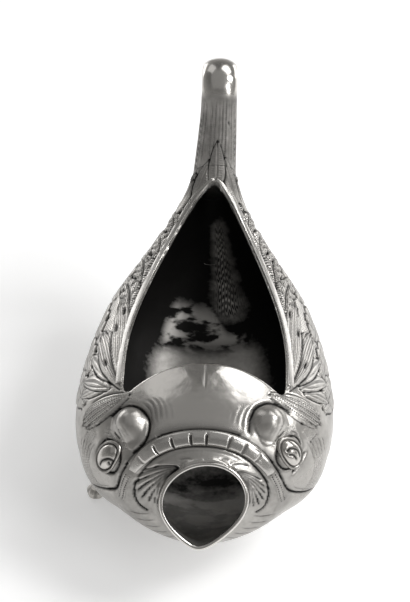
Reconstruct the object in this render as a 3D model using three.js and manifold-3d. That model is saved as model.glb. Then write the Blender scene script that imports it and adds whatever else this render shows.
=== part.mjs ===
// Sauce boat shaped as a grotesque fish head, in sterling silver.
// The mouth of the fish is the spout, its body is the bowl, and its tail rises into a looped handle.
// The boat was raised in two halves that meet on the middle line. Cast and drawn pieces are soldered on.
// Millimetres, +Z up, spout towards -Y. The boat stands on z = 0, with the middle of its length on y = 0.
import * as THREE from "three";
import Module from "manifold-3d";

const wasm = await Module();
wasm.setup();

// Driving dimensions of the raised body.
const bodyWidth = 101; // across the widest part of the belly
const bodyLength = 161.4; // from the tip of the lower lip to the back of the neck
const bodyHeight = 87; // from the keel to the top of the neck
const keelClearance = 10; // free height under the keel
const wall = 1.4; // thickness of the silver sheet
const solderGap = 0.3; // clearance between two pieces that touch
const neckWidth = 17.6; // across the neck, where the handle starts

// Driving dimensions of the pieces soldered to the body.
const openingWidth = 62; // across the pouring bowl's opening
const openingLength = 84; // from the widest place of the opening back to its point
const openingPoint = 86; // distance of that point behind the widest part of the belly
const mouthLean = 3.2; // the top of the mouth lies this far to +X of the lower lip, as on the boat itself
const mouthShift = -0.6; // place of the lower lip off the middle line
const rimWidth = 3.2;
const rimThickness = 0.8;
const lipWireDiameter = 1.3;
const filletWidth = 5.4; // band of knuckles over the mouth
const filletHeight = 1.9;
const filletKnuckles = 9;
const eyeLength = 13.5;
const eyeWidth = 10;
const eyeHeight = 2.6;
const eyeStation = 4.42; // station of the body that both eyes sit on
const leftEyeAngle = 68; // degrees from the middle line
const rightEyeAngle = 60.5; // the mask is a little askew: its left side lies further from the middle
const leftBrowAngle = 42.5;
const rightBrowAngle = 37;
const browBossDiameter = 15;
const browBossHeight = 3.4;
const handleRise = 37; // top of the handle above the neck
const handleReach = 38.5; // back of the handle behind the neck
const gripWidth = 14.2;
const handleWall = 1.2;
const handleLean = 3.2; // the loop leans this far to +X at its top, as on the boat itself
const footWidth = 7.4; // across the flat sole
const footPadLength = 15;
const footPadThickness = 1.3;
const rearFootPlace = 50; // distance of the rear foot behind the widest part of the belly
const leftFootSpread = 44.3; // distance of the left sole from the middle line

// Sizes at which the stations below are drawn. Each overall size above scales one direction.
const drawn = { width: 101, length: 161.4, height: 87, keel: 10, neckTop: [89, 97], rise: 37, reach: 38.5 };

// Stations of the body from mouth to neck: y and z of the highest point, y and z of the lowest point,
// half the width, how high up the section its widest place lies, how far its lower half is drawn in
// towards a point, as at the pouring lip, and how far it shares in the mouth's own lean. y = 0 is the
// widest station.
const bodyStations = [
  [-42.4, 59.8, -60.4, 31.9, 16.4, 0.55, 0.4, 1],
  [-40.9, 60.2, -53.8, 27.3, 17.8, 0.52, 0.34, 0.74],
  [-39.0, 61.0, -50.5, 23.0, 23.5, 0.5, 0.24, 0.26],
  [-36.6, 62.6, -47.0, 19.5, 29.5, 0.5, 0.12, 0],
  [-32.5, 66.3, -43.0, 17.0, 34.0, 0.5, 0.04, 0],
  [-24.0, 69.8, -34.0, 13.5, 42.0, 0.5, 0, 0],
  [-13.0, 72.0, -20.0, 11.0, 48.5, 0.5, 0, 0],
  [0.0, 73.0, 0.0, 10.0, 50.5, 0.5, 0, 0],
  [18.0, 72.5, 22.0, 10.5, 49.3, 0.5, 0, 0],
  [36.0, 71.0, 42.0, 13.5, 45.9, 0.52, 0, 0],
  [52.0, 71.0, 60.0, 20.0, 40.2, 0.55, 0, 0],
  [65.0, 74.0, 76.0, 31.0, 30.2, 0.6, 0, 0],
  [76.0, 80.0, 88.0, 45.0, 20.6, 0.6, 0, 0],
  [84.0, 88.0, 96.0, 61.0, 13.0, 0.6, 0, 0],
  [89.0, 97.0, 101.0, 78.0, 8.8, 0.6, 0, 0],
];

// Stations of the handle from the neck over the loop to the stern, drawn the same way. The last number
// says how far a station follows the landing on the stern instead of the neck.
const handleStations = [
  [89.0, 97.0, 101.0, 78.0, 0],
  [92.0, 107.0, 104.0, 95.0, 0],
  [93.5, 117.0, 103.8, 111.0, 0],
  [95.8, 126.5, 103.5, 121.5, 0],
  [102.0, 133.0, 106.0, 125.3, 0],
  [111.0, 134.0, 110.0, 125.5, 0],
  [119.5, 128.0, 113.0, 122.0, 0],
  [125.0, 116.5, 116.7, 114.0, 0.1],
  [127.5, 101.0, 119.0, 101.0, 0.25],
  [126.0, 85.0, 117.7, 87.0, 0.45],
  [120.0, 70.0, 112.5, 74.5, 0.65],
  [110.0, 58.0, 104.3, 64.8, 0.85],
  [98.0, 50.0, 96.0, 58.6, 1],
  [86.0, 44.0, 87.0, 54.0, 1],
];
const gripShares = [0, 1.14, 1.05, 1.01, 1, 1, 1, 1, 1, 1, 1, 0.98, 0.94, 0.92];
const landingStation = 12.5; // where on the body the handle comes down
const landingDrawn = [92.2, 52.8];
const lastBodyStation = bodyStations.length - 1;

const lengthScale = bodyLength / drawn.length;
const widthScale = bodyWidth / drawn.width;
const heightScale = bodyHeight / drawn.height;
const toHeight = (z) => keelClearance + (z - drawn.keel) * heightScale;

// Body stations at the real size. The neck's own width takes over towards the handle.
const bodyTable = bodyStations.map(([topY, topZ, lowY, lowZ, half, ...shape], i) => {
  const neckShare = THREE.MathUtils.smoothstep(i, lastBodyStation - 2, lastBodyStation);
  const scaled = half * widthScale;
  const neckScaled = (half * neckWidth) / (2 * bodyStations[lastBodyStation][4]);
  const width = THREE.MathUtils.lerp(scaled, neckScaled, neckShare);
  return [topY * lengthScale, toHeight(topZ), lowY * lengthScale, toHeight(lowZ), width, ...shape];
});

// Value of a station table at a fractional station, on a Catmull-Rom curve through the stations.
function between(table, t) {
  const i = Math.min(Math.max(Math.floor(t), 0), table.length - 2);
  const f = t - i;
  const b = table[i];
  const c = table[i + 1];
  const a = table[i - 1] ?? b.map((v, k) => 2 * v - c[k]);
  const d = table[i + 2] ?? c.map((v, k) => 2 * v - b[k]);
  const blend = (k) =>
    0.5 * (2 * b[k] + (c[k] - a[k]) * f + (2 * a[k] - 5 * b[k] + 4 * c[k] - d[k]) * f * f
      + (3 * b[k] - a[k] - 3 * c[k] + d[k]) * f * f * f);
  return b.map((_, k) => blend(k));
}

// Point on a section: angle 0 is its highest point, 90 degrees its widest on +X and 180 its lowest.
function sectionPoint(table, t, angle) {
  const [topY, topZ, lowY, lowZ, half, share, point, lean] = between(table, t);
  const rise = Math.cos(angle);
  const k = share + (rise > 0 ? 1 - share : share) * rise;
  const drawnIn = rise > 0 ? 1 : 1 - point * rise ** 2;
  const x = half * drawnIn * Math.sin(angle) + lean * (mouthShift + mouthLean * k);
  return new THREE.Vector3(x, lowY + k * (topY - lowY), lowZ + k * (topZ - lowZ));
}

function sectionNormal(table, t, angle) {
  const step = 0.02;
  const along = sectionPoint(table, t + step, angle).sub(sectionPoint(table, t - step, angle));
  const round = sectionPoint(table, t, angle + step).sub(sectionPoint(table, t, angle - step));
  return round.cross(along).normalize();
}

// Forms of the mask that are punched up from inside: the brow bosses, the mounds under the eyes and the
// jowls. Each has its place as a station and an angle from the middle line, a radius and a height.
// The sheet keeps its thickness there.
const browStation = 4.95;
const eyeMoundHeight = 1.3;
const eyeMoundRadius = eyeLength * 0.9;
const jowlStation = 4.9;
const jowlAngle = 100;
const jowlRadius = 15;
const jowlHeight = 1.8;
const maskForms = [
  [browStation, -leftBrowAngle, browBossDiameter / 2, browBossHeight],
  [browStation, rightBrowAngle, browBossDiameter / 2, browBossHeight],
  [eyeStation, -leftEyeAngle, eyeMoundRadius, eyeMoundHeight],
  [eyeStation, rightEyeAngle, eyeMoundRadius, eyeMoundHeight],
  [jowlStation, -jowlAngle, jowlRadius, jowlHeight],
  [jowlStation, jowlAngle, jowlRadius, jowlHeight],
].map(([station, degrees, radius, height]) => {
  const place = sectionPoint(bodyTable, station, THREE.MathUtils.degToRad(degrees));
  return { place, radius, height };
});
function maskHeight(point) {
  return maskForms.reduce((total, { place, radius, height }) => {
    const share = place.distanceTo(point) / radius;
    return share < 1 ? total + height * (1 - share * share) ** 1.4 : total;
  }, 0);
}

// Point on the body's outside, moved out along the normal by offset.
function skin(t, angle, offset = 0) {
  const point = sectionPoint(bodyTable, t, angle);
  const normal = sectionNormal(bodyTable, t, angle);
  return point.addScaledVector(normal, maskHeight(point) + offset);
}

// Closed body through rings that have the same number of points each, with flat or fanned ends.
// A closed run of rings has no ends: its last ring joins its first.
function loft(rings, closedRun = false) {
  const count = rings[0].length;
  const positions = [];
  const index = [];
  rings.forEach((ring) => ring.forEach((p) => positions.push(p.x, p.y, p.z)));
  const steps = closedRun ? rings.length : rings.length - 1;
  for (let i = 0; i < steps; i++) {
    const next = (i + 1) % rings.length;
    for (let j = 0; j < count; j++) {
      const k = (j + 1) % count;
      index.push(i * count + j, i * count + k, next * count + k);
      index.push(i * count + j, next * count + k, next * count + j);
    }
  }
  if (!closedRun) {
    for (const [ringIndex, flip] of [[0, true], [rings.length - 1, false]]) {
      const outline = rings[ringIndex];
      const triangles = capTriangles(outline);
      triangles.forEach(([a, b, c]) => {
        const [p, q, r] = [a, b, c].map((v) => ringIndex * count + v);
        index.push(p, flip ? r : q, flip ? q : r);
      });
    }
  }
  const geometry = new THREE.BufferGeometry();
  geometry.setAttribute("position", new THREE.Float32BufferAttribute(positions, 3));
  geometry.setIndex(index);
  return facingOut(geometry);
}

// Triangles over a ring's own outline, found in the plane that the ring lies in.
function capTriangles(outline) {
  const normal = new THREE.Vector3();
  outline.forEach((p, i) => {
    normal.add(new THREE.Vector3().crossVectors(p, outline[(i + 1) % outline.length]));
  });
  normal.normalize();
  const across = new THREE.Vector3(1, 0, 0).addScaledVector(normal, -normal.x);
  if (across.length() < 0.1) across.set(0, 1, 0).addScaledVector(normal, -normal.y);
  across.normalize();
  const up = new THREE.Vector3().crossVectors(normal, across);
  const flat = outline.map((p) => new THREE.Vector2(p.dot(across), p.dot(up)));
  return THREE.ShapeUtils.triangulateShape(flat, []);
}

function signedVolume(geometry) {
  const position = geometry.getAttribute("position");
  const index = geometry.getIndex().array;
  const [a, b, c] = [new THREE.Vector3(), new THREE.Vector3(), new THREE.Vector3()];
  let volume = 0;
  for (let i = 0; i < index.length; i += 3) {
    a.fromBufferAttribute(position, index[i]);
    b.fromBufferAttribute(position, index[i + 1]);
    c.fromBufferAttribute(position, index[i + 2]);
    volume += a.dot(b.cross(c)) / 6;
  }
  return volume;
}

function facingOut(geometry) {
  if (signedVolume(geometry) < 0) {
    const index = geometry.getIndex().array;
    for (let i = 0; i < index.length; i += 3) [index[i + 1], index[i + 2]] = [index[i + 2], index[i + 1]];
  }
  return geometry;
}

// Joins and cuts.
function toSolid(geometry) {
  const vertProperties = new Float32Array(geometry.getAttribute("position").array);
  const triVerts = new Uint32Array(geometry.getIndex().array);
  return new wasm.Manifold(new wasm.Mesh({ numProp: 3, vertProperties, triVerts }));
}

function toGeometry(solid) {
  const mesh = solid.getMesh();
  const geometry = new THREE.BufferGeometry();
  geometry.setAttribute("position", new THREE.Float32BufferAttribute(mesh.vertProperties, 3));
  geometry.setIndex(new THREE.Uint32BufferAttribute(mesh.triVerts, 1));
  return geometry;
}

// Closed solid of a block given by its corners.
function block(low, high) {
  const [x0, y0, z0] = low;
  const [x1, y1, z1] = high;
  const corners = [[x0, y0], [x1, y0], [x1, y1], [x0, y1]];
  const ringAt = (z) => corners.map(([x, y]) => new THREE.Vector3(x, y, z));
  return toSolid(loft([ringAt(z0), ringAt(z1)]));
}

// Closed solid of an outline in the ground plane, from one height to another.
function prism(outline, low, high) {
  const ringAt = (z) => outline.map((p) => new THREE.Vector3(p.x, p.y, z));
  return toSolid(loft([ringAt(low), ringAt(high)]));
}

// Stations and angles of the body's rings: closer together over the mask than over the bowl.
function spread(counts, from = 0) {
  const values = [from];
  counts.forEach((count, i) => {
    for (let k = 1; k <= count; k++) values.push(from + i + k / count);
  });
  return values;
}
const outerStations = spread([2, 2, 3, 4, 5, 4, 3, 3, 3, 3, 3, 4, 4, 3]);
const innerStations = [-0.4, ...spread([1, 1, 1, 2, 3, 3, 2, 2, 2, 2, 2, 2, 1, 1]), lastBodyStation + 0.3];
function anglesRound(topSteps, browSteps, sideSteps) {
  const bands = [[0, 20, topSteps], [20, 56, browSteps], [56, 180, sideSteps]];
  const half = bands.flatMap(([from, to, steps]) =>
    Array.from({ length: steps }, (_, i) => from + ((to - from) * i) / steps));
  const mirrored = half.slice(1).reverse().map((angle) => -angle);
  return [...half, 180, ...mirrored].map((angle) => THREE.MathUtils.degToRad(angle));
}
const outerAngles = anglesRound(3, 9, 14);
const innerAngles = anglesRound(2, 6, 11);
const bodyLoft = (stations, angles, offset) =>
  toSolid(loft(stations.map((t) => angles.map((angle) => skin(t, angle, offset)))));

// Opening of the bowl: a drop seen from above, with a bowed front edge and rounded front corners.
const openingFront = -3.2; // middle of the front edge
const openingCorner = -12.6; // where the sides meet the front edge
const cornerReach = 0.9; // share of the half width at which the front edge ends
function openingHalfWidth(y) {
  const along = THREE.MathUtils.clamp((openingPoint - y) / openingLength, 0, 1);
  return (openingWidth / 2) * Math.sin((Math.PI / 2) * along) ** 0.57;
}
// Right side of the outline from the point to the front corner, then along the front edge to the middle.
const sideSteps = 26;
function openingOutline() {
  const points = [];
  const cornerStart = openingCorner + 5;
  for (let i = 0; i <= sideSteps; i++) {
    const y = openingPoint + (cornerStart - openingPoint) * (i / sideSteps) ** 1.9;
    points.push(new THREE.Vector2(openingHalfWidth(y), y));
  }
  const half = openingWidth / 2;
  const cornerX = half * cornerReach;
  const cornerSteps = 4;
  const from = new THREE.Vector2(half, cornerStart);
  const turn = new THREE.Vector2(half, openingCorner - 1);
  const to = new THREE.Vector2(cornerX, openingCorner);
  const bend = new THREE.QuadraticBezierCurve(from, turn, to);
  bend.getPoints(cornerSteps).slice(1).forEach((p) => points.push(p));
  const frontSteps = 9;
  for (let i = 1; i <= frontSteps; i++) {
    const x = cornerX * (1 - i / frontSteps);
    const y = openingFront + (openingCorner - openingFront) * (x / cornerX) ** 2.2;
    points.push(new THREE.Vector2(x, y));
  }
  return points;
}
const rightOutline = openingOutline();
const leftOutline = rightOutline.slice(1, -1).reverse().map((p) => new THREE.Vector2(-p.x, p.y));
const fullOutline = [...rightOutline, ...leftOutline];
const cutFrom = keelClearance + bodyHeight * 0.46; // above the inside of the belly's bottom
const cutTo = keelClearance + bodyHeight * 2; // well above the neck
const openingTool = prism(fullOutline, cutFrom, cutTo);

// Both halves of the body: the sheet between the outer and the inner form, open at the mouth, at the neck
// and on top, parted on the middle line.
function bodyHalves() {
  const outer = bodyLoft(outerStations, outerAngles, 0);
  const inner = bodyLoft(innerStations, innerAngles, -wall);
  const sheet = outer.subtract(inner).subtract(openingTool);
  const far = bodyLength + bodyWidth;
  const left = sheet.intersect(block([-far, -far, -far], [-solderGap / 2, far, far]));
  const right = sheet.intersect(block([solderGap / 2, -far, -far], [far, far, far]));
  return { left: toGeometry(left), right: toGeometry(right) };
}

// Moves on the body's surface: the station and angle reached from a place after a short way along
// the surface, given as a vector.
function stepOnSkin(t, angle, way) {
  const step = 0.02;
  const along = sectionPoint(bodyTable, t + step, angle).sub(sectionPoint(bodyTable, t - step, angle));
  const round = sectionPoint(bodyTable, t, angle + step).sub(sectionPoint(bodyTable, t, angle - step));
  along.divideScalar(2 * step);
  round.divideScalar(2 * step);
  const aa = along.dot(along);
  const ar = along.dot(round);
  const rr = round.dot(round);
  const wa = way.dot(along);
  const wr = way.dot(round);
  const det = aa * rr - ar * ar;
  return [t + (wa * rr - wr * ar) / det, angle + (wr * aa - wa * ar) / det];
}

// Strip laid on the body along a run of [station, angle] places. Its section is a list of [across, height]
// pairs, given for each place, that starts and ends at the solder gap.
function stripOnSkin(places, sectionAt) {
  return loft(places.map(([t, angle], i) => {
    const before = skin(...places[Math.max(i - 1, 0)]);
    const after = skin(...places[Math.min(i + 1, places.length - 1)]);
    const forward = after.sub(before).normalize();
    const normal = sectionNormal(bodyTable, t, angle);
    const across = new THREE.Vector3().crossVectors(normal, forward).normalize();
    return sectionAt(i).map(([offset, height]) => {
      const [st, sa] = stepOnSkin(t, angle, across.clone().multiplyScalar(offset));
      return skin(st, sa, height);
    });
  }));
}

// Station and angle of the place on the top of the body that lies over a point of the ground plane.
function placeOver(x, y) {
  let t = lastBodyStation / 2;
  let angle = Math.sign(x || 1) * 0.5;
  for (let i = 0; i < 60; i++) {
    const here = sectionPoint(bodyTable, t, angle);
    const step = 1e-3;
    const dt = sectionPoint(bodyTable, t + step, angle).sub(here).divideScalar(step);
    const da = sectionPoint(bodyTable, t, angle + step).sub(here).divideScalar(step);
    const det = dt.x * da.y - dt.y * da.x;
    const ex = x - here.x;
    const ey = y - here.y;
    t += THREE.MathUtils.clamp((ex * da.y - ey * da.x) / det, -1, 1) * 0.7;
    angle += THREE.MathUtils.clamp((ey * dt.x - ex * dt.y) / det, -0.3, 0.3) * 0.7;
    t = THREE.MathUtils.clamp(t, 0.5, lastBodyStation - 0.1);
  }
  return [t, angle];
}

// Flat wire round both sides and the point of the opening, ending at the front corners.
function rimBorder() {
  const inset = 0.4; // the wire's inner edge stands back this far from the opening
  const side = rightOutline.slice(1, sideSteps + 2);
  const right = side.map((p) => placeOver(p.x, p.y));
  const left = side.map((p) => placeOver(-p.x, p.y));
  const point = placeOver(0.001, openingPoint + inset);
  const places = [...left.reverse(), [point[0], 0], ...right];
  const low = solderGap;
  const high = solderGap + rimThickness;
  const near = inset;
  const far = inset + rimWidth;
  const section = [[near, low], [near + 0.3, high], [far - 0.3, high], [far, low]];
  return stripOnSkin(places, () => section);
}

// Drawn wire round the edge of the mouth.
function lipWire() {
  const turns = 52;
  const sides = 6;
  const radius = lipWireDiameter / 2;
  const mouthUp = sectionPoint(bodyTable, 0, 0).sub(sectionPoint(bodyTable, 0, Math.PI)).normalize();
  const mouthOut = new THREE.Vector3(0, -mouthUp.z, mouthUp.y);
  const rings = Array.from({ length: turns }, (_, i) => {
    const angle = (2 * Math.PI * i) / turns;
    const ahead = skin(0, angle + 0.05).sub(skin(0, angle - 0.05)).normalize();
    const outward = new THREE.Vector3().crossVectors(mouthOut, ahead).normalize();
    const centre = skin(0, angle)
      .addScaledVector(outward, -wall / 2)
      .addScaledVector(mouthOut, radius + solderGap);
    return Array.from({ length: sides }, (_, k) => {
      const round = (2 * Math.PI * (k + 0.5)) / sides;
      return centre.clone()
        .addScaledVector(mouthOut, radius * Math.cos(round))
        .addScaledVector(outward, radius * Math.sin(round));
    });
  });
  return loft(rings, true);
}

// Band of knuckles that arches over the mouth between the eyes, lower in the notches between two knuckles.
const filletEndAngle = 62; // degrees from the middle line
function filletStation(degrees) {
  return 3.48 - 0.52 * (degrees / 60) ** 2;
}
function browFillet() {
  const stepsPerKnuckle = 6;
  const steps = filletKnuckles * stepsPerKnuckle;
  const places = [];
  const sections = [];
  for (let i = 0; i <= steps; i++) {
    const degrees = filletEndAngle * (2 * (i / steps) - 1);
    places.push([filletStation(degrees), THREE.MathUtils.degToRad(degrees)]);
    const phase = (i % stepsPerKnuckle) / stepsPerKnuckle;
    const notch = Math.abs(Math.cos(Math.PI * phase)) ** 6;
    const taper = 1 - 0.45 * (Math.abs(degrees) / filletEndAngle) ** 3;
    const half = (filletWidth / 2) * taper * (1 - 0.08 * notch);
    const height = filletHeight * taper * (1 - 0.5 * notch);
    const base = solderGap;
    const crown = [0, 36, 72, 108, 144, 180].map((a) => THREE.MathUtils.degToRad(a));
    const arch = crown.map((a) => [-half * Math.cos(a), base + 0.25 + height * Math.sin(a)]);
    sections.push([[half, base], ...arch.reverse(), [-half, base]]);
  }
  return stripOnSkin(places, (i) => sections[i]);
}

// Domed oval laid on the body: the place of its middle, the direction of its long axis on the surface,
// its sizes, and its height as a function of the distance from the middle, 0 to 1.
function ovalOnSkin(t, angle, lean, length, width, heightAt, rings = 6, sides = 22) {
  const normal = sectionNormal(bodyTable, t, angle);
  const up = new THREE.Vector3(0, 0, 1).addScaledVector(normal, -normal.z).normalize();
  const level = new THREE.Vector3().crossVectors(up, normal).normalize();
  const long = up.clone().multiplyScalar(Math.cos(lean)).addScaledVector(level, Math.sin(lean));
  const short = new THREE.Vector3().crossVectors(long, normal).normalize();
  const ringAt = (share, height) => Array.from({ length: sides }, (_, k) => {
    const round = (2 * Math.PI * k) / sides;
    const way = long.clone().multiplyScalar((share * length * Math.cos(round)) / 2)
      .addScaledVector(short, (share * width * Math.sin(round)) / 2);
    return skin(...stepOnSkin(t, angle, way), height);
  });
  const top = Array.from({ length: rings }, (_, i) => {
    const share = 1 - i / rings;
    return ringAt(share, heightAt(share));
  });
  const tip = ringAt(0.08, heightAt(0));
  const under = [0.08, 0.5, 1].map((share) => ringAt(share, solderGap));
  return loft([...under, ...top, tip]);
}

// Cast eyes with a raised edge.
const eyeLean = 14; // degrees that the top leans outwards
const eyeEdge = 0.5; // height of the edge above the sheet
function eye(side, degrees) {
  const dome = eyeHeight - eyeEdge - solderGap;
  const heightAt = (share) => solderGap + eyeEdge + dome * Math.sqrt(Math.max(1 - share ** 2, 0));
  const angle = side * THREE.MathUtils.degToRad(degrees);
  const lean = -side * THREE.MathUtils.degToRad(eyeLean);
  return ovalOnSkin(eyeStation, angle, lean, eyeLength, eyeWidth, heightAt);
}

// Handle stations at the real size, tied to the neck at one end and to the stern at the other.
const neck = bodyTable[lastBodyStation];
const landing = sectionPoint(bodyTable, landingStation, Math.PI);
const riseScale = handleRise / drawn.rise;
const reachScale = handleReach / drawn.reach;
function followNeck(y, z) {
  return [neck[0] + (y - drawn.neckTop[0]) * reachScale, neck[1] + (z - drawn.neckTop[1]) * riseScale];
}
const landingShift = [landing.y, landing.z].map((v, k) => v - followNeck(...landingDrawn)[k]);
const handleTable = handleStations.map(([topY, topZ, lowY, lowZ, weight], i) => {
  if (i === 0) return [...neck];
  const [ty, tz] = followNeck(topY, topZ);
  const [ly, lz] = followNeck(lowY, lowZ);
  const [sy, sz] = landingShift.map((v) => v * weight);
  const half = (gripWidth / 2) * gripShares[i];
  const share = i < 3 ? THREE.MathUtils.lerp(neck[5], 0.5, i / 3) : 0.5;
  return [ty + sy, tz + sz, ly + sy, lz + sz, half, share, 0, 0];
});

// Hollow handle in two shells soldered along both sides: the outer one shows, the inner one faces the bowl.
function handleShell(fromDegrees, toDegrees) {
  const stations = spread([2, 2, 2, 3, 3, 3, 2, 2, 2, 2, 2, 2, 2]);
  stations[0] = 0.02;
  const sides = 8;
  const gapAngle = 2.2; // degrees left free at each edge for the solder
  const rings = stations.map((t) => {
    const angles = Array.from({ length: sides + 1 }, (_, k) => {
      const degrees = fromDegrees + gapAngle + ((toDegrees - fromDegrees - 2 * gapAngle) * k) / sides;
      return THREE.MathUtils.degToRad(degrees);
    });
    const outer = angles.map((angle) => handlePoint(t, angle, 0));
    const inner = angles.map((angle) => handlePoint(t, angle, -handleWall)).reverse();
    return [...outer, ...inner];
  });
  const shell = toSolid(loft(rings));
  const keepOff = bodyLoft(outerStations, outerAngles, solderGap);
  const apart = shell.subtract(keepOff).decompose();
  apart.sort((a, b) => b.volume() - a.volume());
  return toGeometry(apart[0]);
}
function handlePoint(t, angle, offset) {
  return sectionPoint(handleTable, t, angle).addScaledVector(sectionNormal(handleTable, t, angle), offset);
}

// Disc that closes the hollow handle off from the bowl, inside the neck.
function neckBulkhead() {
  const count = 28;
  const place = lastBodyStation - 0.35;
  const ringAt = (t) => Array.from({ length: count }, (_, k) =>
    skin(t, (2 * Math.PI * k) / count, -wall - solderGap));
  return loft([ringAt(place), ringAt(place + 0.12)]);
}

// Cast foot: a pad under the belly, and a curved leg that ends in a knuckle with a flat sole.
// The proportions are shares: of the pad's length, of the root's height above the sole, of the level
// distance from root to sole, of the sole's width and of the leg's own length.
const padWidthShare = 0.72;
const kneeOut = 0.3;
const kneeAlong = 0.25;
const ankleHeight = 0.34;
const ankleBack = 0.12;
const thighRadius = 0.52;
const shinRadius = 0.3;
const shinFrom = 0.62;
const knuckleAt = 0.86;
const knuckleSpread = 0.16;
function foot(t, degrees, soleX, soleY) {
  const angle = THREE.MathUtils.degToRad(degrees);
  const padHeight = (share) => solderGap + footPadThickness * Math.sqrt(Math.max(1 - 0.75 * share ** 2, 0));
  const padWidth = footPadLength * padWidthShare;
  const pad = toSolid(ovalOnSkin(t, angle, 0, footPadLength, padWidth, padHeight, 3, 16));
  const root = skin(t, angle, solderGap + footPadThickness * 0.5);
  const outward = sectionNormal(bodyTable, t, angle);
  const sole = new THREE.Vector3(soleX, soleY, 0);
  const level = new THREE.Vector3(sole.x - root.x, sole.y - root.y, 0);
  const knee = root.clone().addScaledVector(outward, root.z * kneeOut).addScaledVector(level, kneeAlong);
  const ankle = sole.clone().setZ(root.z * ankleHeight).addScaledVector(level, -ankleBack);
  const toe = sole.clone().setZ(-2);
  const spine = new THREE.CatmullRomCurve3([root, knee, ankle, toe]);
  const steps = 14;
  const sides = 10;
  const radiusAt = (s) => {
    const leg = THREE.MathUtils.lerp(thighRadius, shinRadius, Math.min(s / shinFrom, 1));
    const knuckle = Math.exp(-(((s - knuckleAt) / knuckleSpread) ** 2)) / 2;
    return footWidth * Math.max(leg, knuckle);
  };
  const rings = Array.from({ length: steps + 1 }, (_, i) => {
    const s = i / steps;
    const centre = spine.getPoint(s);
    const forward = spine.getTangent(s);
    const side = new THREE.Vector3(0, 1, 0).addScaledVector(forward, -forward.y).normalize();
    const up = new THREE.Vector3().crossVectors(forward, side);
    const radius = radiusAt(s);
    return Array.from({ length: sides }, (_, k) => {
      const round = (2 * Math.PI * k) / sides;
      return centre.clone().addScaledVector(side, radius * Math.cos(round))
        .addScaledVector(up, radius * Math.sin(round));
    });
  });
  const far = bodyWidth * 2;
  const leg = toSolid(loft(rings)).subtract(block([-far, -far, -far], [far, far, 0]));
  const clear = bodyLoft(outerStations, outerAngles, solderGap);
  return toGeometry(pad.add(leg.subtract(clear)));
}

// Leans the neck and the handle to one side. The lean starts where the handle lands on the stern and is
// full near the loop's top.
function leanPieces(group) {
  const start = landing.z;
  const end = neck[1] + handleRise * 0.84;
  group.children.forEach((mesh) => {
    const position = mesh.geometry.getAttribute("position");
    for (let i = 0; i < position.count; i++) {
      const lean = handleLean * THREE.MathUtils.smoothstep(position.getZ(i), start, end);
      position.setX(i, position.getX(i) + lean);
    }
  });
}

// Finishes.
const silver = (color, roughness) => new THREE.MeshStandardMaterial({ color, roughness, metalness: 1 });
const chasedSilver = silver(0x8f8d88, 0.34);
const polishedSilver = silver(0xb9b7b2, 0.2);
const castSilver = silver(0x86847f, 0.4);

const boat = new THREE.Group();
function addPiece(name, geometry, material) {
  const mesh = new THREE.Mesh(geometry, material);
  mesh.name = name;
  boat.add(mesh);
}

const halves = bodyHalves();
addPiece("body_left_half", halves.left, chasedSilver);
addPiece("body_right_half", halves.right, chasedSilver);
addPiece("spout_lip_wire", lipWire(), polishedSilver);
addPiece("rim_border", rimBorder(), polishedSilver);
addPiece("brow_fillet", browFillet(), polishedSilver);
addPiece("left_eye", eye(-1, leftEyeAngle), castSilver);
addPiece("right_eye", eye(1, rightEyeAngle), castSilver);
addPiece("handle_outer_shell", handleShell(-90, 90), chasedSilver);
addPiece("handle_inner_shell", handleShell(90, 270), chasedSilver);
addPiece("neck_bulkhead", neckBulkhead(), polishedSilver);

// The right foot stands further in and further back than the left one, as on the boat itself.
const rearFootStation = 7 + (3 * rearFootPlace) / (60 * lengthScale);
addPiece("left_foot", foot(6.75, -137, -leftFootSpread, -4.5), castSilver);
addPiece("right_foot", foot(7.3, 139, leftFootSpread * 0.9, 7), castSilver);
addPiece("rear_foot", foot(rearFootStation, 180, 0, rearFootPlace + 6), castSilver);

// The middle of the boat's length goes to y = 0.
leanPieces(boat);
const extent = new THREE.Box3().setFromObject(boat);
boat.position.y = -(extent.min.y + extent.max.y) / 2;

export default boat;
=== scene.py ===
# Silver sauce boat shaped as a grotesque fish head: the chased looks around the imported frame.
# The shapes are worked out in millimetres and written to Blender in metres.
import functools
import math
import bpy
import numpy as np
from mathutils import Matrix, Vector


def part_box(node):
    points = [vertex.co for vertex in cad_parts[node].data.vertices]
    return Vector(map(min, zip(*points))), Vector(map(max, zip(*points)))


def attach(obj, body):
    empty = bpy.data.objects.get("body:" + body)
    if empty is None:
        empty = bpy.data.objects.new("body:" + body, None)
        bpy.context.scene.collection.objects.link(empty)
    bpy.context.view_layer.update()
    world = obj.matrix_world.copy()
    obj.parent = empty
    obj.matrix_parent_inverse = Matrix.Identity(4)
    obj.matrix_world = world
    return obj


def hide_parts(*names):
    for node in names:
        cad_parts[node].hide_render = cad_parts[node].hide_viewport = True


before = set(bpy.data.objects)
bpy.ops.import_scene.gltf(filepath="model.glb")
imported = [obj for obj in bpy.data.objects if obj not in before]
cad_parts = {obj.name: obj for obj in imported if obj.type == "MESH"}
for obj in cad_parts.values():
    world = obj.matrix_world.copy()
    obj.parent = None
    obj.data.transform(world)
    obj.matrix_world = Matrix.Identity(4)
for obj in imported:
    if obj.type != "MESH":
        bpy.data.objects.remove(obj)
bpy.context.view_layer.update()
MM = 0.001
rng = np.random.default_rng(7)

# Sizes of the construction.
WALL = 1.4
NECK_STATION = 14
OPENING_HALF = 31.0
OPENING_LENGTH = 84.0
OPENING_POINT = 86.0
OPENING_FRONT = -3.2
OPENING_CORNER = -12.6
CORNER_START = OPENING_CORNER + 5
CORNER_REACH = 0.9
MOUTH_LEAN = 3.2
MOUTH_SHIFT = -0.6
HANDLE_WALL = 1.2
HANDLE_LEAN = 3.2
LEAN_LOW = 53.0
LEAN_HIGH = 128.1
# Stations between which the handle's shells are drawn. They end just inside the sheet of the stern.
HANDLE_START = 0.008
HANDLE_END = 13
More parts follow.
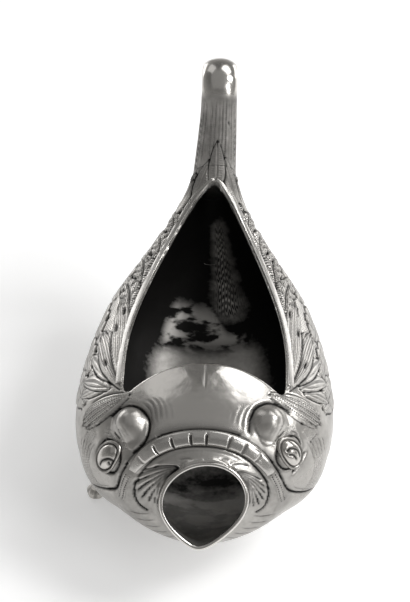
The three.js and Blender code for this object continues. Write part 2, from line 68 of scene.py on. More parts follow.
# About how long a station and a degree of the body are.
STATION_MM = 12.0
DEGREE_MM = 0.88

# Stations of the body from mouth to neck: y and z of the highest point, y and z of the lowest point,
# half the width, how high up the section its widest place lies, how far its lower half is drawn in
# towards a point, as at the pouring lip, and how far it shares in the mouth's own lean. y = 0 is the
# widest station.
BODY = np.array([
    [-42.4, 59.8, -60.4, 31.9, 16.4, 0.55, 0.4, 1],
    [-40.9, 60.2, -53.8, 27.3, 17.8, 0.52, 0.34, 0.74],
    [-39.0, 61.0, -50.5, 23.0, 23.5, 0.5, 0.24, 0.26],
    [-36.6, 62.6, -47.0, 19.5, 29.5, 0.5, 0.12, 0],
    [-32.5, 66.3, -43.0, 17.0, 34.0, 0.5, 0.04, 0],
    [-24.0, 69.8, -34.0, 13.5, 42.0, 0.5, 0, 0],
    [-13.0, 72.0, -20.0, 11.0, 48.5, 0.5, 0, 0],
    [0.0, 73.0, 0.0, 10.0, 50.5, 0.5, 0, 0],
    [18.0, 72.5, 22.0, 10.5, 49.3, 0.5, 0, 0],
    [36.0, 71.0, 42.0, 13.5, 45.9, 0.52, 0, 0],
    [52.0, 71.0, 60.0, 20.0, 40.2, 0.55, 0, 0],
    [65.0, 74.0, 76.0, 31.0, 30.2, 0.6, 0, 0],
    [76.0, 80.0, 88.0, 45.0, 20.6, 0.6, 0, 0],
    [84.0, 88.0, 96.0, 61.0, 13.0, 0.6, 0, 0],
    [89.0, 97.0, 101.0, 78.0, 8.8, 0.6, 0, 0],
])

# Stations of the handle from the neck over the loop to the stern, drawn the same way.
HANDLE = np.array([
    BODY[-1],
    [92.0, 107.0, 104.0, 95.0, 8.09, 0.567, 0, 0],
    [93.5, 117.0, 103.8, 111.0, 7.46, 0.533, 0, 0],
    [95.8, 126.5, 103.5, 121.5, 7.17, 0.5, 0, 0],
    [102.0, 133.0, 106.0, 125.3, 7.1, 0.5, 0, 0],
    [111.0, 134.0, 110.0, 125.5, 7.1, 0.5, 0, 0],
    [119.5, 128.0, 113.0, 122.0, 7.1, 0.5, 0, 0],
    [125.0, 116.5, 116.7, 114.0, 7.1, 0.5, 0, 0],
    [127.5, 101.0, 119.0, 101.0, 7.1, 0.5, 0, 0],
    [126.0, 85.0, 117.7, 87.0, 7.1, 0.5, 0, 0],
    [120.0, 70.0, 112.5, 74.5, 7.1, 0.5, 0, 0],
    [110.0, 58.0, 104.3, 64.8, 6.96, 0.5, 0, 0],
    [98.0, 50.0, 96.0, 58.6, 6.67, 0.5, 0, 0],
    [86.0, 44.0, 87.0, 54.0, 6.53, 0.5, 0, 0],
])

# The belly's own y counts from the widest station. The frame's counts from the middle of the length.
FRAME_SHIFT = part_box("body_left_half")[0].y / MM - BODY[0, 2]

# Forms punched up from inside: station, degrees, radius and height. The mask is a little askew.
EYE_STATION = 4.42
EYE_DEGREES = {-1: 68.0, 1: 60.5}
MASK_FORMS = [(4.95, -42.5, 7.5, 3.4), (4.95, 37.0, 7.5, 3.4)]
MASK_FORMS += [(EYE_STATION, side * EYE_DEGREES[side], 12.15, 1.3) for side in (-1, 1)]
MASK_FORMS += [(4.9, -100.0, 15.0, 1.8), (4.9, 100.0, 15.0, 1.8)]


# Surface.
def between(table, t):
    """Values of a station table at fractional stations, on a Catmull-Rom curve."""
    t = np.asarray(t, float)
    i = np.clip(np.floor(t).astype(int), 0, len(table) - 2)
    f = (t - i)[..., None]
    longer = np.vstack([2 * table[0] - table[1], table, 2 * table[-1] - table[-2]])
    a, b, c, d = longer[i], longer[i + 1], longer[i + 2], longer[i + 3]
    square = (2 * a - 5 * b + 4 * c - d) * f * f
    cube = (3 * b - a - 3 * c + d) * f ** 3
    return 0.5 * (2 * b + (c - a) * f + square + cube)


def section_point(table, t, angle):
    """Point of a section: angle 0 is its highest point and a half turn its lowest."""
    top_y, top_z, low_y, low_z, half, share, point, lean = np.moveaxis(between(table, t), -1, 0)
    rise = np.cos(angle)
    k = share + np.where(rise > 0, 1 - share, share) * rise
    drawn_in = np.where(rise > 0, 1, 1 - point * rise ** 2)
    x = half * drawn_in * np.sin(angle) + lean * (MOUTH_SHIFT + MOUTH_LEAN * k)
    return np.stack([x, low_y + k * (top_y - low_y), low_z + k * (top_z - low_z)], -1)


def unit(v):
    return v / np.maximum(np.linalg.norm(v, axis=-1, keepdims=True), 1e-12)


def full_turn(count):
    """Angles at even steps once round."""
    return 2 * np.pi * np.arange(count) / count


def section_slopes(table, t, angle):
    """Differences of the section's points over a small step along and around."""
    step = 0.02
    along = section_point(table, t + step, angle) - section_point(table, t - step, angle)
    around = section_point(table, t, angle + step) - section_point(table, t, angle - step)
    return along, around, step


def section_normal(table, t, angle):
    along, around, _ = section_slopes(table, t, angle)
    return unit(np.cross(around, along))


def mask_height(points):
    total = np.zeros(points.shape[:-1])
    for station, degrees, radius, height in MASK_FORMS:
        place = section_point(BODY, np.array(station), np.radians(degrees))
        share = np.linalg.norm(points - place, axis=-1) / radius
        total += height * np.clip(1 - share * share, 0, None) ** 1.4
    return total


def skin(t, angle, offset=0.0, table=BODY):
    """Point on the outside of the body or the handle, moved out along the normal by offset."""
    points = section_point(table, t, angle)
    lift = offset + (mask_height(points) if table is BODY else np.zeros(points.shape[:-1]))
    return points + section_normal(table, t, angle) * lift[..., None]


def ease(x, low, high):
    """Smooth step from 0 at low to 1 at high."""
    s = np.clip((x - low) / (high - low), 0, 1)
    return s * s * (3 - 2 * s)


def most(*values):
    return functools.reduce(np.maximum, values)


def run_length(points):
    steps = np.linalg.norm(np.diff(points, axis=0), axis=-1)
    return np.concatenate([[0], np.cumsum(steps)])


def guide_length(table, reach):
    """Length along a form, 60 degrees off its top, at a run of stations."""
    return run_length(section_point(table, reach, np.radians(np.full(len(reach), 60.0))))


def resample(points, length, count):
    """Pairs of numbers at even steps of the length."""
    even = np.linspace(0, length[-1], count)
    return np.stack([np.interp(even, length, points[:, k]) for k in (0, 1)], -1)


def blur(values, radius):
    """Gaussian blur of a net, radius in pixels."""
    reach = int(3 * radius) + 1
    kernel = np.exp(-0.5 * (np.arange(-reach, reach + 1) / radius) ** 2)
    kernel /= kernel.sum()
    for axis in (0, 1):
        padding = [(reach, reach) if k == axis else (0, 0) for k in (0, 1)]
        padded = np.pad(values, padding, mode="edge")
        values = sum(w * np.take(padded, range(i, i + values.shape[axis]), axis)
                     for i, w in enumerate(kernel))
    return values


# The first mark darkens the metal: it holds patina in the hollows and painted shade, most of all on the
# inside.
ATTRIBUTES = ("patina", "dots", "veins", "hatch", "matt", "polish", "mottle")
# Step along a drawn line, and how many pixels share a first guess of their place on it.
LINE_STEP = 0.4
COARSE = 3


class Chart:
    """Relief in millimetres over one side of the body or over the handle, on a fine net of stations
    and degrees. Places are pairs of a station and degrees from the middle line."""

    def __init__(self, table, side, degrees, last_station, pixel=0.3):
        self.table = table
        self.side = side
        reach = np.linspace(0, last_station, 1500)
        length = guide_length(table, reach)
        even = np.linspace(0, length[-1], int(length[-1] / pixel))
        self.station = np.interp(even, length, reach)
        step = math.degrees(pixel / table[:, 4].max())
        self.degrees = np.arange(degrees[0], degrees[1] + step, step)
        t, a = np.meshgrid(self.station, np.radians(self.degrees), indexing="ij")
        self.points = skin(t, side * a, table=table)
        self.steps = [np.linalg.norm(np.gradient(self.points, axis=k), axis=-1) for k in (0, 1)]
        for name in ("height", *ATTRIBUTES):
            setattr(self, name, np.zeros(t.shape))
        self.local = np.zeros(t.shape + (2,))

    def pixel_of(self, t, degrees):
        column = np.interp(t, self.station, np.arange(len(self.station)))
        row = (degrees - self.degrees[0]) / (self.degrees[1] - self.degrees[0])
        return column, np.clip(row, 0, len(self.degrees) - 1)

    def near(self, places, reach):
        """The window of pixels round the smooth line through places, and for each pixel its distance
        along the line, across it (towards the middle line of the top is positive) and away from it."""
        places = np.array(places, float)
        if len(places) == 2:
            places = np.insert(places, 1, places.mean(0), axis=0)
        fine = between(places, np.linspace(0, len(places) - 1, 24 * len(places)))
        length = run_length(skin(fine[:, 0], self.side * np.radians(fine[:, 1]), table=self.table))
        t, degrees = resample(fine, length, max(int(length[-1] / LINE_STEP), 6)).T
        angle = self.side * np.radians(degrees)
        centre = skin(t, angle, table=self.table)
        ahead = unit(np.gradient(centre, axis=0))
        lateral = unit(np.cross(section_normal(self.table, t, angle), ahead)) * self.side
        length = run_length(centre)
        column, row = self.pixel_of(t, degrees)
        corner = column.astype(int), row.astype(int)
        window = ()
        for at, step in zip((column, row), self.steps):
            margin = 1.5 * reach / step[corner]
            window += (slice(max(int((at - margin).min()), 0), int((at + margin).max()) + 2),)
        pixels = self.points[window]
        coarse = pixels[::COARSE, ::COARSE]
        flat = coarse.reshape(-1, 3)
        away2 = (flat ** 2).sum(1)[:, None] + (centre ** 2).sum(1) - 2 * flat @ centre.T
        first = away2.argmin(1).reshape(coarse.shape[:2])
        nearest = first.repeat(COARSE, 0).repeat(COARSE, 1)[:pixels.shape[0], :pixels.shape[1]]
        step = length[-1] / (len(length) - 1)
        for _ in range(2):
            ahead_of = ((pixels - centre[nearest]) * ahead[nearest]).sum(-1)
            nearest = np.clip(np.rint(nearest + ahead_of / step).astype(int), 0, len(centre) - 1)
        offset = pixels - centre[nearest]
        along = length[nearest] + (offset * ahead[nearest]).sum(-1)
        across = (offset * lateral[nearest]).sum(-1)
        return window, along, across, np.linalg.norm(offset, axis=-1), length[-1]

    def sample(self, name, t, degrees):
        """Value of one of the nets at any places, between its pixels."""
        net = getattr(self, name)
        column, row = self.pixel_of(t, degrees)
        i = np.clip(column.astype(int), 0, net.shape[0] - 2)
        j = np.clip(row.astype(int), 0, net.shape[1] - 2)
        f = column - i
        g = row - j
        if net.ndim == 3:
            f, g = f[..., None], g[..., None]
        low = net[i, j] * (1 - f) + net[i + 1, j] * f
        high = net[i, j + 1] * (1 - f) + net[i + 1, j + 1] * f
        return low * (1 - g) + high * g


# Distances between punched dots, between the rungs of a ladder and between the veins of a leaf.
DOT_PITCH = 1.0
RUNG_PITCH = 1.3
VEIN_PITCH = 1.5


# Chasing tools. Each one changes the relief inside its own window of the chart.
def groove(chart, places, depth=0.3, width=0.5, taper=0.15, dark=0.7):
    """Rounded line that thins out at both ends. A negative depth gives a ridge."""
    window, along, _, away, length = chart.near(places, width * 3)
    share = along / length
    profile = np.exp(-(away / width) ** 2) * (ease(share, -0.001, taper) * ease(1 - share, -0.001, taper))
    chart.height[window] -= depth * profile
    chart.patina[window] = np.maximum(chart.patina[window], dark * profile)


def band(chart, places, width, **strengths):
    """Strip along a line where a fine texture takes over, with its own run of distances."""
    window, along, across, away, length = chart.near(places, width * 1.2)
    share = along / length
    inside = ease(width - away, 0, 0.5) * ease(share, -0.001, 0.08) * ease(1 - share, -0.001, 0.08)
    for name, strength in strengths.items():
        net = getattr(chart, name)
        net[window] += (strength - net[window]) * inside
    local = np.stack([along, across], -1)
    chart.local[window] = np.where(inside[..., None] > 0, local, chart.local[window])


def leaf_width(x, base, widest, blunt):
    """Share of the half width along a leaf, from its base (0) to its tip (1)."""
    x = np.clip(x, 0, 1)
    rising = base + (1 - base) * np.sin(0.5 * np.pi * np.clip(x / widest, 0, 1))
    fallen = np.clip((x - widest) / (1 - widest), 0, 1)
    return np.where(x < widest, rising, np.clip(1 - fallen ** blunt, 0, None) ** (1 / blunt))


def edge_distance(along, across, edge, length):
    """Distance outside a leaf's edge, also before its base and beyond its tip."""
    away = np.abs(across)
    beyond = np.maximum(-along, along - length)
    return np.where(beyond > 0, np.hypot(away, beyond), away - edge)


def lay_over(chart, window, along, across, gap, form, dots):
    """Puts a raised form over what lies there, with a chased line round it."""
    inside = ease(-gap, -0.2, 0.3) * (along > 0)
    outside = np.exp(-((gap - 0.4) / 0.36) ** 2) * (1 - 0.6 * inside)
    height = chart.height[window]
    chart.height[window] = height + (form - height) * inside - 0.4 * outside
    chart.patina[window] = np.maximum(chart.patina[window] * (1 - inside), 1.1 * outside)
    deep = inside * ease(-gap, 0.5, 1.0)
    chart.dots[window] = chart.dots[window] * (1 - inside) + dots * deep
    chart.veins[window] = chart.veins[window] * (1 - inside) + deep
    chart.hatch[window] *= 1 - inside
    chart.matt[window] *= 1 - inside
    local = np.stack([along, across], -1)
    chart.local[window] = np.where((inside > 0.02)[..., None], local, chart.local[window])


def acanthus(chart, places, half, lobes, rise, blunt, dots):
    """Leaf with a middle vein and swept lobes along both edges."""
    window, along, across, _, length = chart.near(places, half * 1.15 + 1.4)
    x = along / length
    away = np.abs(across)
    phase = lobes * x - 0.55 * away / half
    lobe = np.abs(np.sin(np.pi * phase)) ** 0.7
    edge = half * leaf_width(x, 0.4, 0.55, blunt) * (0.76 + 0.24 * lobe) * ((x > 0) & (x < 1))
    q = np.clip(away / np.maximum(edge, 0.05), 0, 1)
    form = rise * (0.35 + 0.35 * np.sqrt(1 - q * q) + 0.5 * lobe * q * (1 - q ** 5))
    form -= 0.5 * rise * np.exp(-(across / 0.5) ** 2) * ease(1 - x, 0.05, 0.3)
    vein = np.abs(phase - np.round(phase)) * (length / lobes)
    form -= 0.35 * rise * np.exp(-(vein / 0.45) ** 2) * ease(q, 0.1, 0.45)
    lay_over(chart, window, along, across, edge_distance(along, across, edge, length), form, dots)


def frond(chart, places, half, ribs, rise, base, widest, dots, blunt=2.2, scallop=0.12, inner_line=0.0):
    """Leaf whose ribs run along it and end in rounded lobes."""
    window, along, across, _, length = chart.near(places, half * 1.15 + 1.4)
    x = along / length
    q = across / (half * np.maximum(leaf_width(x, base, widest, blunt), 0.05))
    level = np.clip(q, -1, 1)
    rib = np.abs(np.sin(0.5 * np.pi * ribs * (level + 1))) ** 0.6
    tip = 1 - scallop * (1 - rib) - 0.1 * np.clip(np.abs(across) / half, 0, 1) ** 2
    edge = half * leaf_width(x / tip, base, widest, blunt) * ((x > 0) & (x < tip))
    gap = edge_distance(along, across, edge, length)
    dome = np.sqrt(np.clip(1 - level ** 2, 0, 1))
    form = rise * (0.4 + 0.3 * dome + 0.35 * rib * ease(x, 0.0, 0.4))
    form -= inner_line * np.exp(-((gap + 1.15) / 0.35) ** 2)
    lay_over(chart, window, along, 0.5 * q * ribs * VEIN_PITCH, gap, form, dots)


def fan(chart, origin, ends):
    """Shell of ribs that spread from one place."""
    ends = np.array(ends, float)
    origin = np.array(origin, float)
    middle = ends.mean(0)
    groove(chart, [origin, 0.5 * (origin + middle), middle], depth=-0.6, width=3.4, taper=0.4, dark=0)
    for k, end in enumerate(ends):
        bend = 0.5 * (origin + end) + 0.12 * (end - middle)
        groove(chart, [origin, bend, end], depth=0.42, width=0.46, taper=0.14, dark=0.85)
        if k:
            crest_end = 0.5 * (end + ends[k - 1])
            crest = 0.5 * (origin + crest_end)
            groove(chart, [crest, 0.5 * (crest + crest_end), crest_end], depth=-0.32, width=0.6,
                   taper=0.25, dark=0)


def knob(chart, places, radius, height):
    """Round boss with a drawn-out lower end."""
    window, along, _, away, length = chart.near(places, radius * 0.8)
    share = np.clip(along / length, 0, 1)
    reach = radius * (1 - 0.45 * share ** 1.5)
    form = height * (1 - 0.55 * share) * np.sqrt(np.clip(1 - (away / reach) ** 2, 0, 1))
    chart.height[window] = np.maximum(chart.height[window], 0.36 * form)


# How dark the stem and the neck are between their lines.
STEM_PATINA = 0.6

# Ornament of the face. The left side of the mask lies a little further from the middle line.
ASKEW = 5.5


def askew(side, places):
    if side > 0:
        return places
    return [(t, degrees + ASKEW * float(ease(degrees, 8, 36) * (1 - ease(degrees, 78, 100))))
            for t, degrees in places]


BROW_ARCS = {
    1: [(4.08, 31.5), (4.3, 28.6), (4.55, 26.8), (4.87, 25.4), (5.26, 26), (5.49, 28.6), (5.63, 32),
        (5.67, 37), (5.65, 42), (5.54, 47.6)],
    -1: [(3.74, 55), (3.81, 48.4), (3.94, 41.2), (4.2, 35.6), (4.51, 31.8), (4.79, 30.2), (5.1, 31),
         (5.39, 33.6), (5.57, 37.8), (5.58, 42.6), (5.5, 47.8), (5.38, 52)],
}
# Depth of the brow's groove, and how much painted shade lies in soft bands beside the brow and beside the
# forehead's ripples.
BROW_DEPTH_AND_PAINTED_SHADE = {1: (0.85, 0.6, 0.52), -1: (1.2, 0.45, 0.36)}
RIPPLES = {
    1: [([(4.15, 25), (4.4, 22.8), (4.67, 21.6), (5.09, 21.6), (5.47, 24.2)], 0.36),
        ([(4.3, 20.6), (4.62, 18.4), (5.12, 18.8), (5.4, 20.5)], 0.26),
        ([(4.4, 16.6), (4.65, 15.4), (5.0, 15.6)], 0.16)],
    -1: [([(5.55, 32.8), (5.41, 29.6), (5.19, 27.8), (5, 27.6), (4.63, 28.8), (4.31, 31.2)], 0.34),
         ([(5.62, 29.8), (5.44, 26.2), (5.16, 25), (4.8, 25.8), (4.4, 27)], 0.32),
         ([(5.65, 26.2), (5.46, 23.2), (5.11, 22.2), (4.51, 24)], 0.28),
         ([(5.62, 23.4), (5.48, 21), (5.08, 19.4), (4.5, 20.6)], 0.2),
         ([(5.4, 17.5), (5, 16.4), (4.5, 17.2)], 0.12)],
}
BOSSES = {
    1: ([(5.0, 34.4), (4.72, 36.2), (4.4, 40.5)], 6.3, 3.4),
    -1: ([(5.0, 39.6), (4.7, 40.6), (4.2, 46)], 5.6, 2.8),
}
JAW_LINE = [(4.06, -6), (4.06, 12), (4.0, 24), (3.86, 34), (3.7, 46), (3.55, 55), (3.42, 66), (3.43, 75),
            (3.6, 85), (4.0, 93), (4.55, 100), (5.3, 107)]
FILLET_LINE = [(2.92, -6), (2.97, 8), (2.92, 20), (2.72, 32), (2.52, 46), (2.4, 60), (2.36, 72), (2.25, 84),
               (2.02, 98), (1.6, 106)]
EYE_SOCKETS = {
    1: [(4.95, 54), (4.98, 58.5), (4.83, 63), (4.5, 68.4), (4.1, 70), (3.82, 67), (3.72, 61), (3.84, 56),
        (4.1, 52.8), (4.54, 50.8), (4.8, 51.4), (4.95, 54)],
    -1: [(4.9, 60), (4.72, 57.4), (4.45, 57), (4.17, 59.4), (3.92, 64), (3.84, 71), (3.97, 76.8), (4.36, 79),
         (4.7, 75.4), (4.9, 67.5), (4.9, 60)],
}
# Ribbed fans beside the mouth: where their ribs start and where each one ends.
CHEEK_FANS = {
    1: ((0.55, 40), [(2.22, 66), (2.24, 75), (2.16, 84), (1.98, 92), (1.7, 98), (1.36, 101), (0.98, 102),
                     (0.6, 102)]),
    -1: ((0.6, 35), [(2.5, 56), (2.62, 64), (2.5, 74), (2.24, 84), (1.9, 92), (1.5, 97), (1.1, 99),
                     (0.65, 100)]),
}
# Fine bands of the face: places, width and how strong the veins and the dots are.
FACE_BANDS = [
    ([(5.5, 56), (5.4, 74), (5.0, 92), (4.4, 104)], 3.0, {"veins": 0.6, "dots": 0.5}),
    ([(5.2, 53), (4.95, 49), (4.5, 47.5), (4.1, 50)], 1.6, {"veins": 0.5, "dots": 0.5}),
    ([(3.0, 60), (2.98, 72), (3.05, 88), (3.3, 98)], 1.9, {"dots": 0.9}),
]
# Strokes: places, depth, width, how much of the length thins out at each end, and how dark they are.
# These go under the brow's boss.
JAW_STROKES = [
    (JAW_LINE, 0.75, 0.62, 0.06, 1.0),
    # Painted shade in a soft band on the lower forehead, along the jaw line.
    ([(t + 0.14, degrees) for t, degrees in JAW_LINE[:8]], 0, 1.9, 0.1, 0.5),
    ([(5.45, 57), (5.35, 74), (4.95, 92), (4.3, 104)], 0, 3.6, 0.3, 0.25),
    ([(3.95, 81), (4.02, 88), (4.4, 95), (5.0, 102)], 0.3, 0.45, 0.3, 0.6),
    (FILLET_LINE, 0.5, 0.6, 0.02, 0.9),
    # Painted shade in a soft band under the fillet.
    (FILLET_LINE, 0, 1.6, 0.1, 0.4),
    ([(3.0, 56), (2.95, 72), (3.05, 88), (3.5, 102)], -0.55, 2.4, 0.25, 0),
    ([(2.3, -6), (2.3, 20), (2.15, 38), (2.0, 48)], 0.16, 0.5, 0.2, 0.35),
]
# These go over it.
EYE_STROKES = {
    1: [([(3.9, 78), (4.1, 75.4), (4.41, 72), (4.76, 69.4), (5.07, 68.4)], 0.9, 0.8, 0.3, 1.1),
        ([(5.0, 50), (5.1, 54), (5.06, 58)], 0.3, 0.45, 0.3, 0.9),
        ([(5.1, 68), (5.5, 67.5), (5.8, 69)], 0.25, 0.4, 0.3, 0.5)],
    -1: [([(3.55, 66), (3.5, 78), (3.75, 88), (4.2, 96)], 0.4, 0.5, 0.15, 0.7)],
}
BROW_STROKES = [([(4.92, 46.3), (4.72, 46.4), (4.5, 46)], 0.35, 0.5, 0.25, 0.9)]
for k in range(4):
    start = 38.5 + 2.4 * k
    hatch = [(4.3 + 0.06 * k, start + 2.4), (4.6, start + 0.6), (4.95 - 0.03 * k, start)]
    BROW_STROKES.append((hatch, 0.08, 0.42, 0.3, 0.5))
TEMPLE_STROKES = []
for k in range(5):
    t = 5.1 + 0.15 * k
    TEMPLE_STROKES.append(([(t, 60 + 2.4 * k), (t + 0.04, 71 + k), (t - 0.1, 84 + k)], 0.24, 0.42, 0.3, 0.7))
LIP_STROKES = [
    ([(1.05, 15), (1.45, 19), (1.6, 25)], 0.22, 0.45, 0.25, 0.7),
    ([(0.75, 29), (1.3, 31.5), (1.8, 34), (2.2, 40)], -0.4, 0.7, 0.25, 0),
    ([(0.6, 31), (1.3, 34), (1.85, 37.5), (2.2, 45)], 0.35, 0.5, 0.2, 0.8),
    ([(0.6, 4), (0.62, 16), (0.55, 28)], -0.25, 0.9, 0.1, 0),
]
for start in range(108, 153, 9):
    LIP_STROKES.append(([(1.2, start), (2.4, start + 3), (3.6, start + 2)], 0.3, 0.5, 0.35, 0.8))


def chase_face(chart):
    side = chart.side

    def draw(strokes):
        for places, *options in strokes:
            groove(chart, askew(side, places), *options)

    draw(JAW_STROKES)
    for places, width, strengths in FACE_BANDS:
        band(chart, askew(side, places), width, **strengths)
    knob(chart, *BOSSES[side])
    arc = BROW_ARCS[side]
    depth, painted_brow_shade, painted_ripple_shade = BROW_DEPTH_AND_PAINTED_SHADE[side]
    groove(chart, arc, depth, width=0.75, taper=0.12, dark=1.0)
    # Soft bands of painted shade beside the brow and beside the ripples.
    groove(chart, arc, depth=0, width=2.0, taper=0.2, dark=painted_brow_shade)
    groove(chart, RIPPLES[side][0][0], depth=0, width=3.4, taper=0.2, dark=painted_ripple_shade)
    for places, depth in RIPPLES[side]:
        groove(chart, places, 0.38 * depth, width=0.5, taper=0.3, dark=2.6 * depth)
    draw(BROW_STROKES)
    groove(chart, [(5.7, 0), (6.3, 0), (6.9, 0)], depth=0.08, width=0.3, dark=0.5)
    groove(chart, EYE_SOCKETS[side], depth=0.7, width=0.6, taper=0.0, dark=1.1)
    # A soft band of painted shade round the eye socket.
    groove(chart, EYE_SOCKETS[side], depth=0, width=1.9, taper=0.0, dark=0.6)
    draw(EYE_STROKES[side] + TEMPLE_STROKES)
    fan(chart, *CHEEK_FANS[side])
    draw(LIP_STROKES)


# Leaves of the shoulder: the places of the axis, half the width and the number of lobes.
FLANK_LEAVES = [
    ([(12.2, 66), (12.7, 84), (12.9, 104)], 5.0, 4),
    ([(11.0, 66), (11.7, 82), (12.1, 104)], 6.0, 5),
    ([(9.8, 66), (10.6, 80), (11.2, 100)], 6.6, 5),
    ([(8.6, 66), (9.4, 78), (10.1, 96)], 6.8, 5),
    ([(7.5, 66), (8.3, 77), (9.1, 94)], 6.6, 5),
    ([(6.5, 66), (7.3, 76), (8.0, 92)], 6.2, 5),
]
SHOULDER_LEAVES = [
    ([(13.1, 34), (13.5, 50), (13.75, 72)], 2.9, 4),
    ([(12.3, 38), (12.8, 48), (13.2, 70)], 3.3, 4),
    ([(11.5, 40), (12.1, 50), (12.6, 70)], 3.9, 5),
    ([(10.7, 41), (11.4, 50), (12.0, 70)], 4.3, 5),
    ([(9.9, 41), (10.6, 49), (11.3, 68)], 4.6, 5),
    ([(9.0, 42), (9.8, 49), (10.5, 65)], 4.9, 5),
]
PETALS = [
    ([(6.5, 50), (6.75, 59), (6.9, 71)], 3.0),
    ([(6.6, 47), (7.1, 57), (7.45, 69)], 3.3),
    ([(6.7, 44), (7.4, 53), (7.95, 64)], 3.5),
]
FRONDS = [
    ([(6.35, 39), (7.3, 46), (8.1, 53), (8.7, 61)], 4.6),
    ([(6.4, 38.6), (7.6, 42.2), (8.7, 46.5), (9.6, 54)], 3.9),
]
EAR_LEAF = [(5.93, 31), (5.9, 48), (5.97, 66.5)]
RIM_LADDER = [(7.0, 40.9), (8.0, 41.8), (8.8, 42.0), (9.6, 41.6), (10.5, 42.5), (11.3, 45)]
# Deep dark hollows between the leaves, with their width.
DARK_PITS = [
    ([(8.2, 47.6), (8.6, 49.6)], 0.7),
    ([(8.75, 44.4), (9.2, 46.3)], 0.56),
    ([(7.25, 48.5), (7.6, 51.5)], 0.56),
    ([(9.8, 54.5), (9.95, 59)], 0.63),
    ([(9.1, 60), (9.25, 64.5)], 0.63),
    ([(7.9, 62), (8.15, 67)], 0.63),
    ([(10.75, 52), (10.95, 56)], 0.56),
    ([(12.35, 49), (12.6, 54)], 0.56),
]


def chase_shoulder(chart):
    def jitter(places):
        """The left side's leaves lie a little off the right side's."""
        shift_t, shift_degrees = rng.normal(0, [0.05, 0.7]) if chart.side < 0 else (0, 0)
        return [(t + shift_t, degrees + shift_degrees) for t, degrees in places]

    t = chart.station[:, None]
    degrees = chart.degrees[None, :]
    ground = ease(t, 6.8, 7.2) * (1 - ease(t, 12.6, 13.2)) * ease(degrees, 38, 42)
    chart.dots = 0.9 * ground * (1 - ease(degrees, 82, 92))
    chart.local = np.stack(np.broadcast_arrays(STATION_MM * t, 0.85 * degrees), -1)
    for places, half, lobes in FLANK_LEAVES:
        acanthus(chart, jitter(places), half, lobes, rise=0.6, blunt=1.8, dots=0.6)
    for places, half, lobes in SHOULDER_LEAVES:
        acanthus(chart, jitter(places), half, lobes, rise=0.85, blunt=1.5, dots=1.0)
    for places, half in PETALS:
        frond(chart, jitter(places), half, ribs=1, rise=0.5, base=0.3, widest=0.6, dots=0.3,
              inner_line=0.3)
    band(chart, RIM_LADDER, 1.9, hatch=1.0, dots=0.0)
    for places, half in FRONDS:
        frond(chart, jitter(places), half, ribs=4, rise=0.65, base=0.2, widest=0.7, dots=1.0, scallop=0.16)
    frond(chart, askew(chart.side, EAR_LEAF), 5.0, ribs=5, rise=0.6, base=0.2, widest=0.75, dots=0.9,
          blunt=2.6, inner_line=0.25)
    for places, width in DARK_PITS:
        groove(chart, jitter(places), depth=0.8, width=width, taper=0.45, dark=0.85)


# Leaves that run from the neck on to the handle: stations of the body that go on along the handle, and
# degrees that are negative on the left.
NECK_LEAVES = [
    ([(12.6, 72), (13.1, 62), (13.6, 55)], 2.6),
    ([(12.5, -66), (13.0, -58), (13.5, -50)], 2.6),
    ([(12.7, 45), (13.5, 36), (14.3, 26.5)], 2.8),
    ([(12.8, -33), (13.5, -27), (14.2, -17.5)], 2.8),
    ([(12.9, 4), (13.9, 4), (14.95, 1)], 3.2),
]
FLUTES = (-67, -55, -43, -32, -21, -10, 1, 12, 23, 34, 45, 57, 69)


def neck_leaves(chart, first_station):
    for places, half in NECK_LEAVES:
        turned = [(t - first_station, chart.side * degrees) for t, degrees in places]
        in_reach = turned[0][1] > -30 or first_station > 0
        if in_reach and turned[-1][0] > -0.2:
            frond(chart, turned, half, ribs=2, rise=0.4, base=0.6, widest=0.5, dots=0.4, blunt=1.8)


def chase_neck(chart):
    for flute in FLUTES:
        degrees = chart.side * flute
        if degrees > -12:
            groove(chart, [(14.4, degrees), (13.6, 1.02 * degrees), (12.9, 1.1 * degrees)], depth=0.15,
                   width=0.32, dark=0.6)
    neck_leaves(chart, 0)


def chase_belly(chart):
    """Curled strokes on the lower flank, where the leaves run out."""
    for t in np.arange(6.2, 12.6, 0.55):
        start = 100 - 3.0 * abs(t - 9.5) ** 1.2
        curl = [(t, start), (t + 0.45, start + 9), (t + 0.75, start + 20), (t + 0.7, start + 28)]
        groove(chart, curl, depth=0.34, width=0.6, taper=0.35, dark=0.85)


def finish_relief(chart):
    """Patina gathers in the hollows, and the sheet's other side follows the relief softly."""
    hollow = blur(chart.height, 3) - chart.height
    chart.patina = np.maximum(chart.patina, 1.05 * ease(hollow, 0.02, 0.2))
    chart.height -= 0.16 * chart.matt
    chart.reverse = blur(chart.height, 2.2)
    chart.raised_inside = ease(blur(chart.reverse, 7) - chart.reverse, 0.04, 0.2)


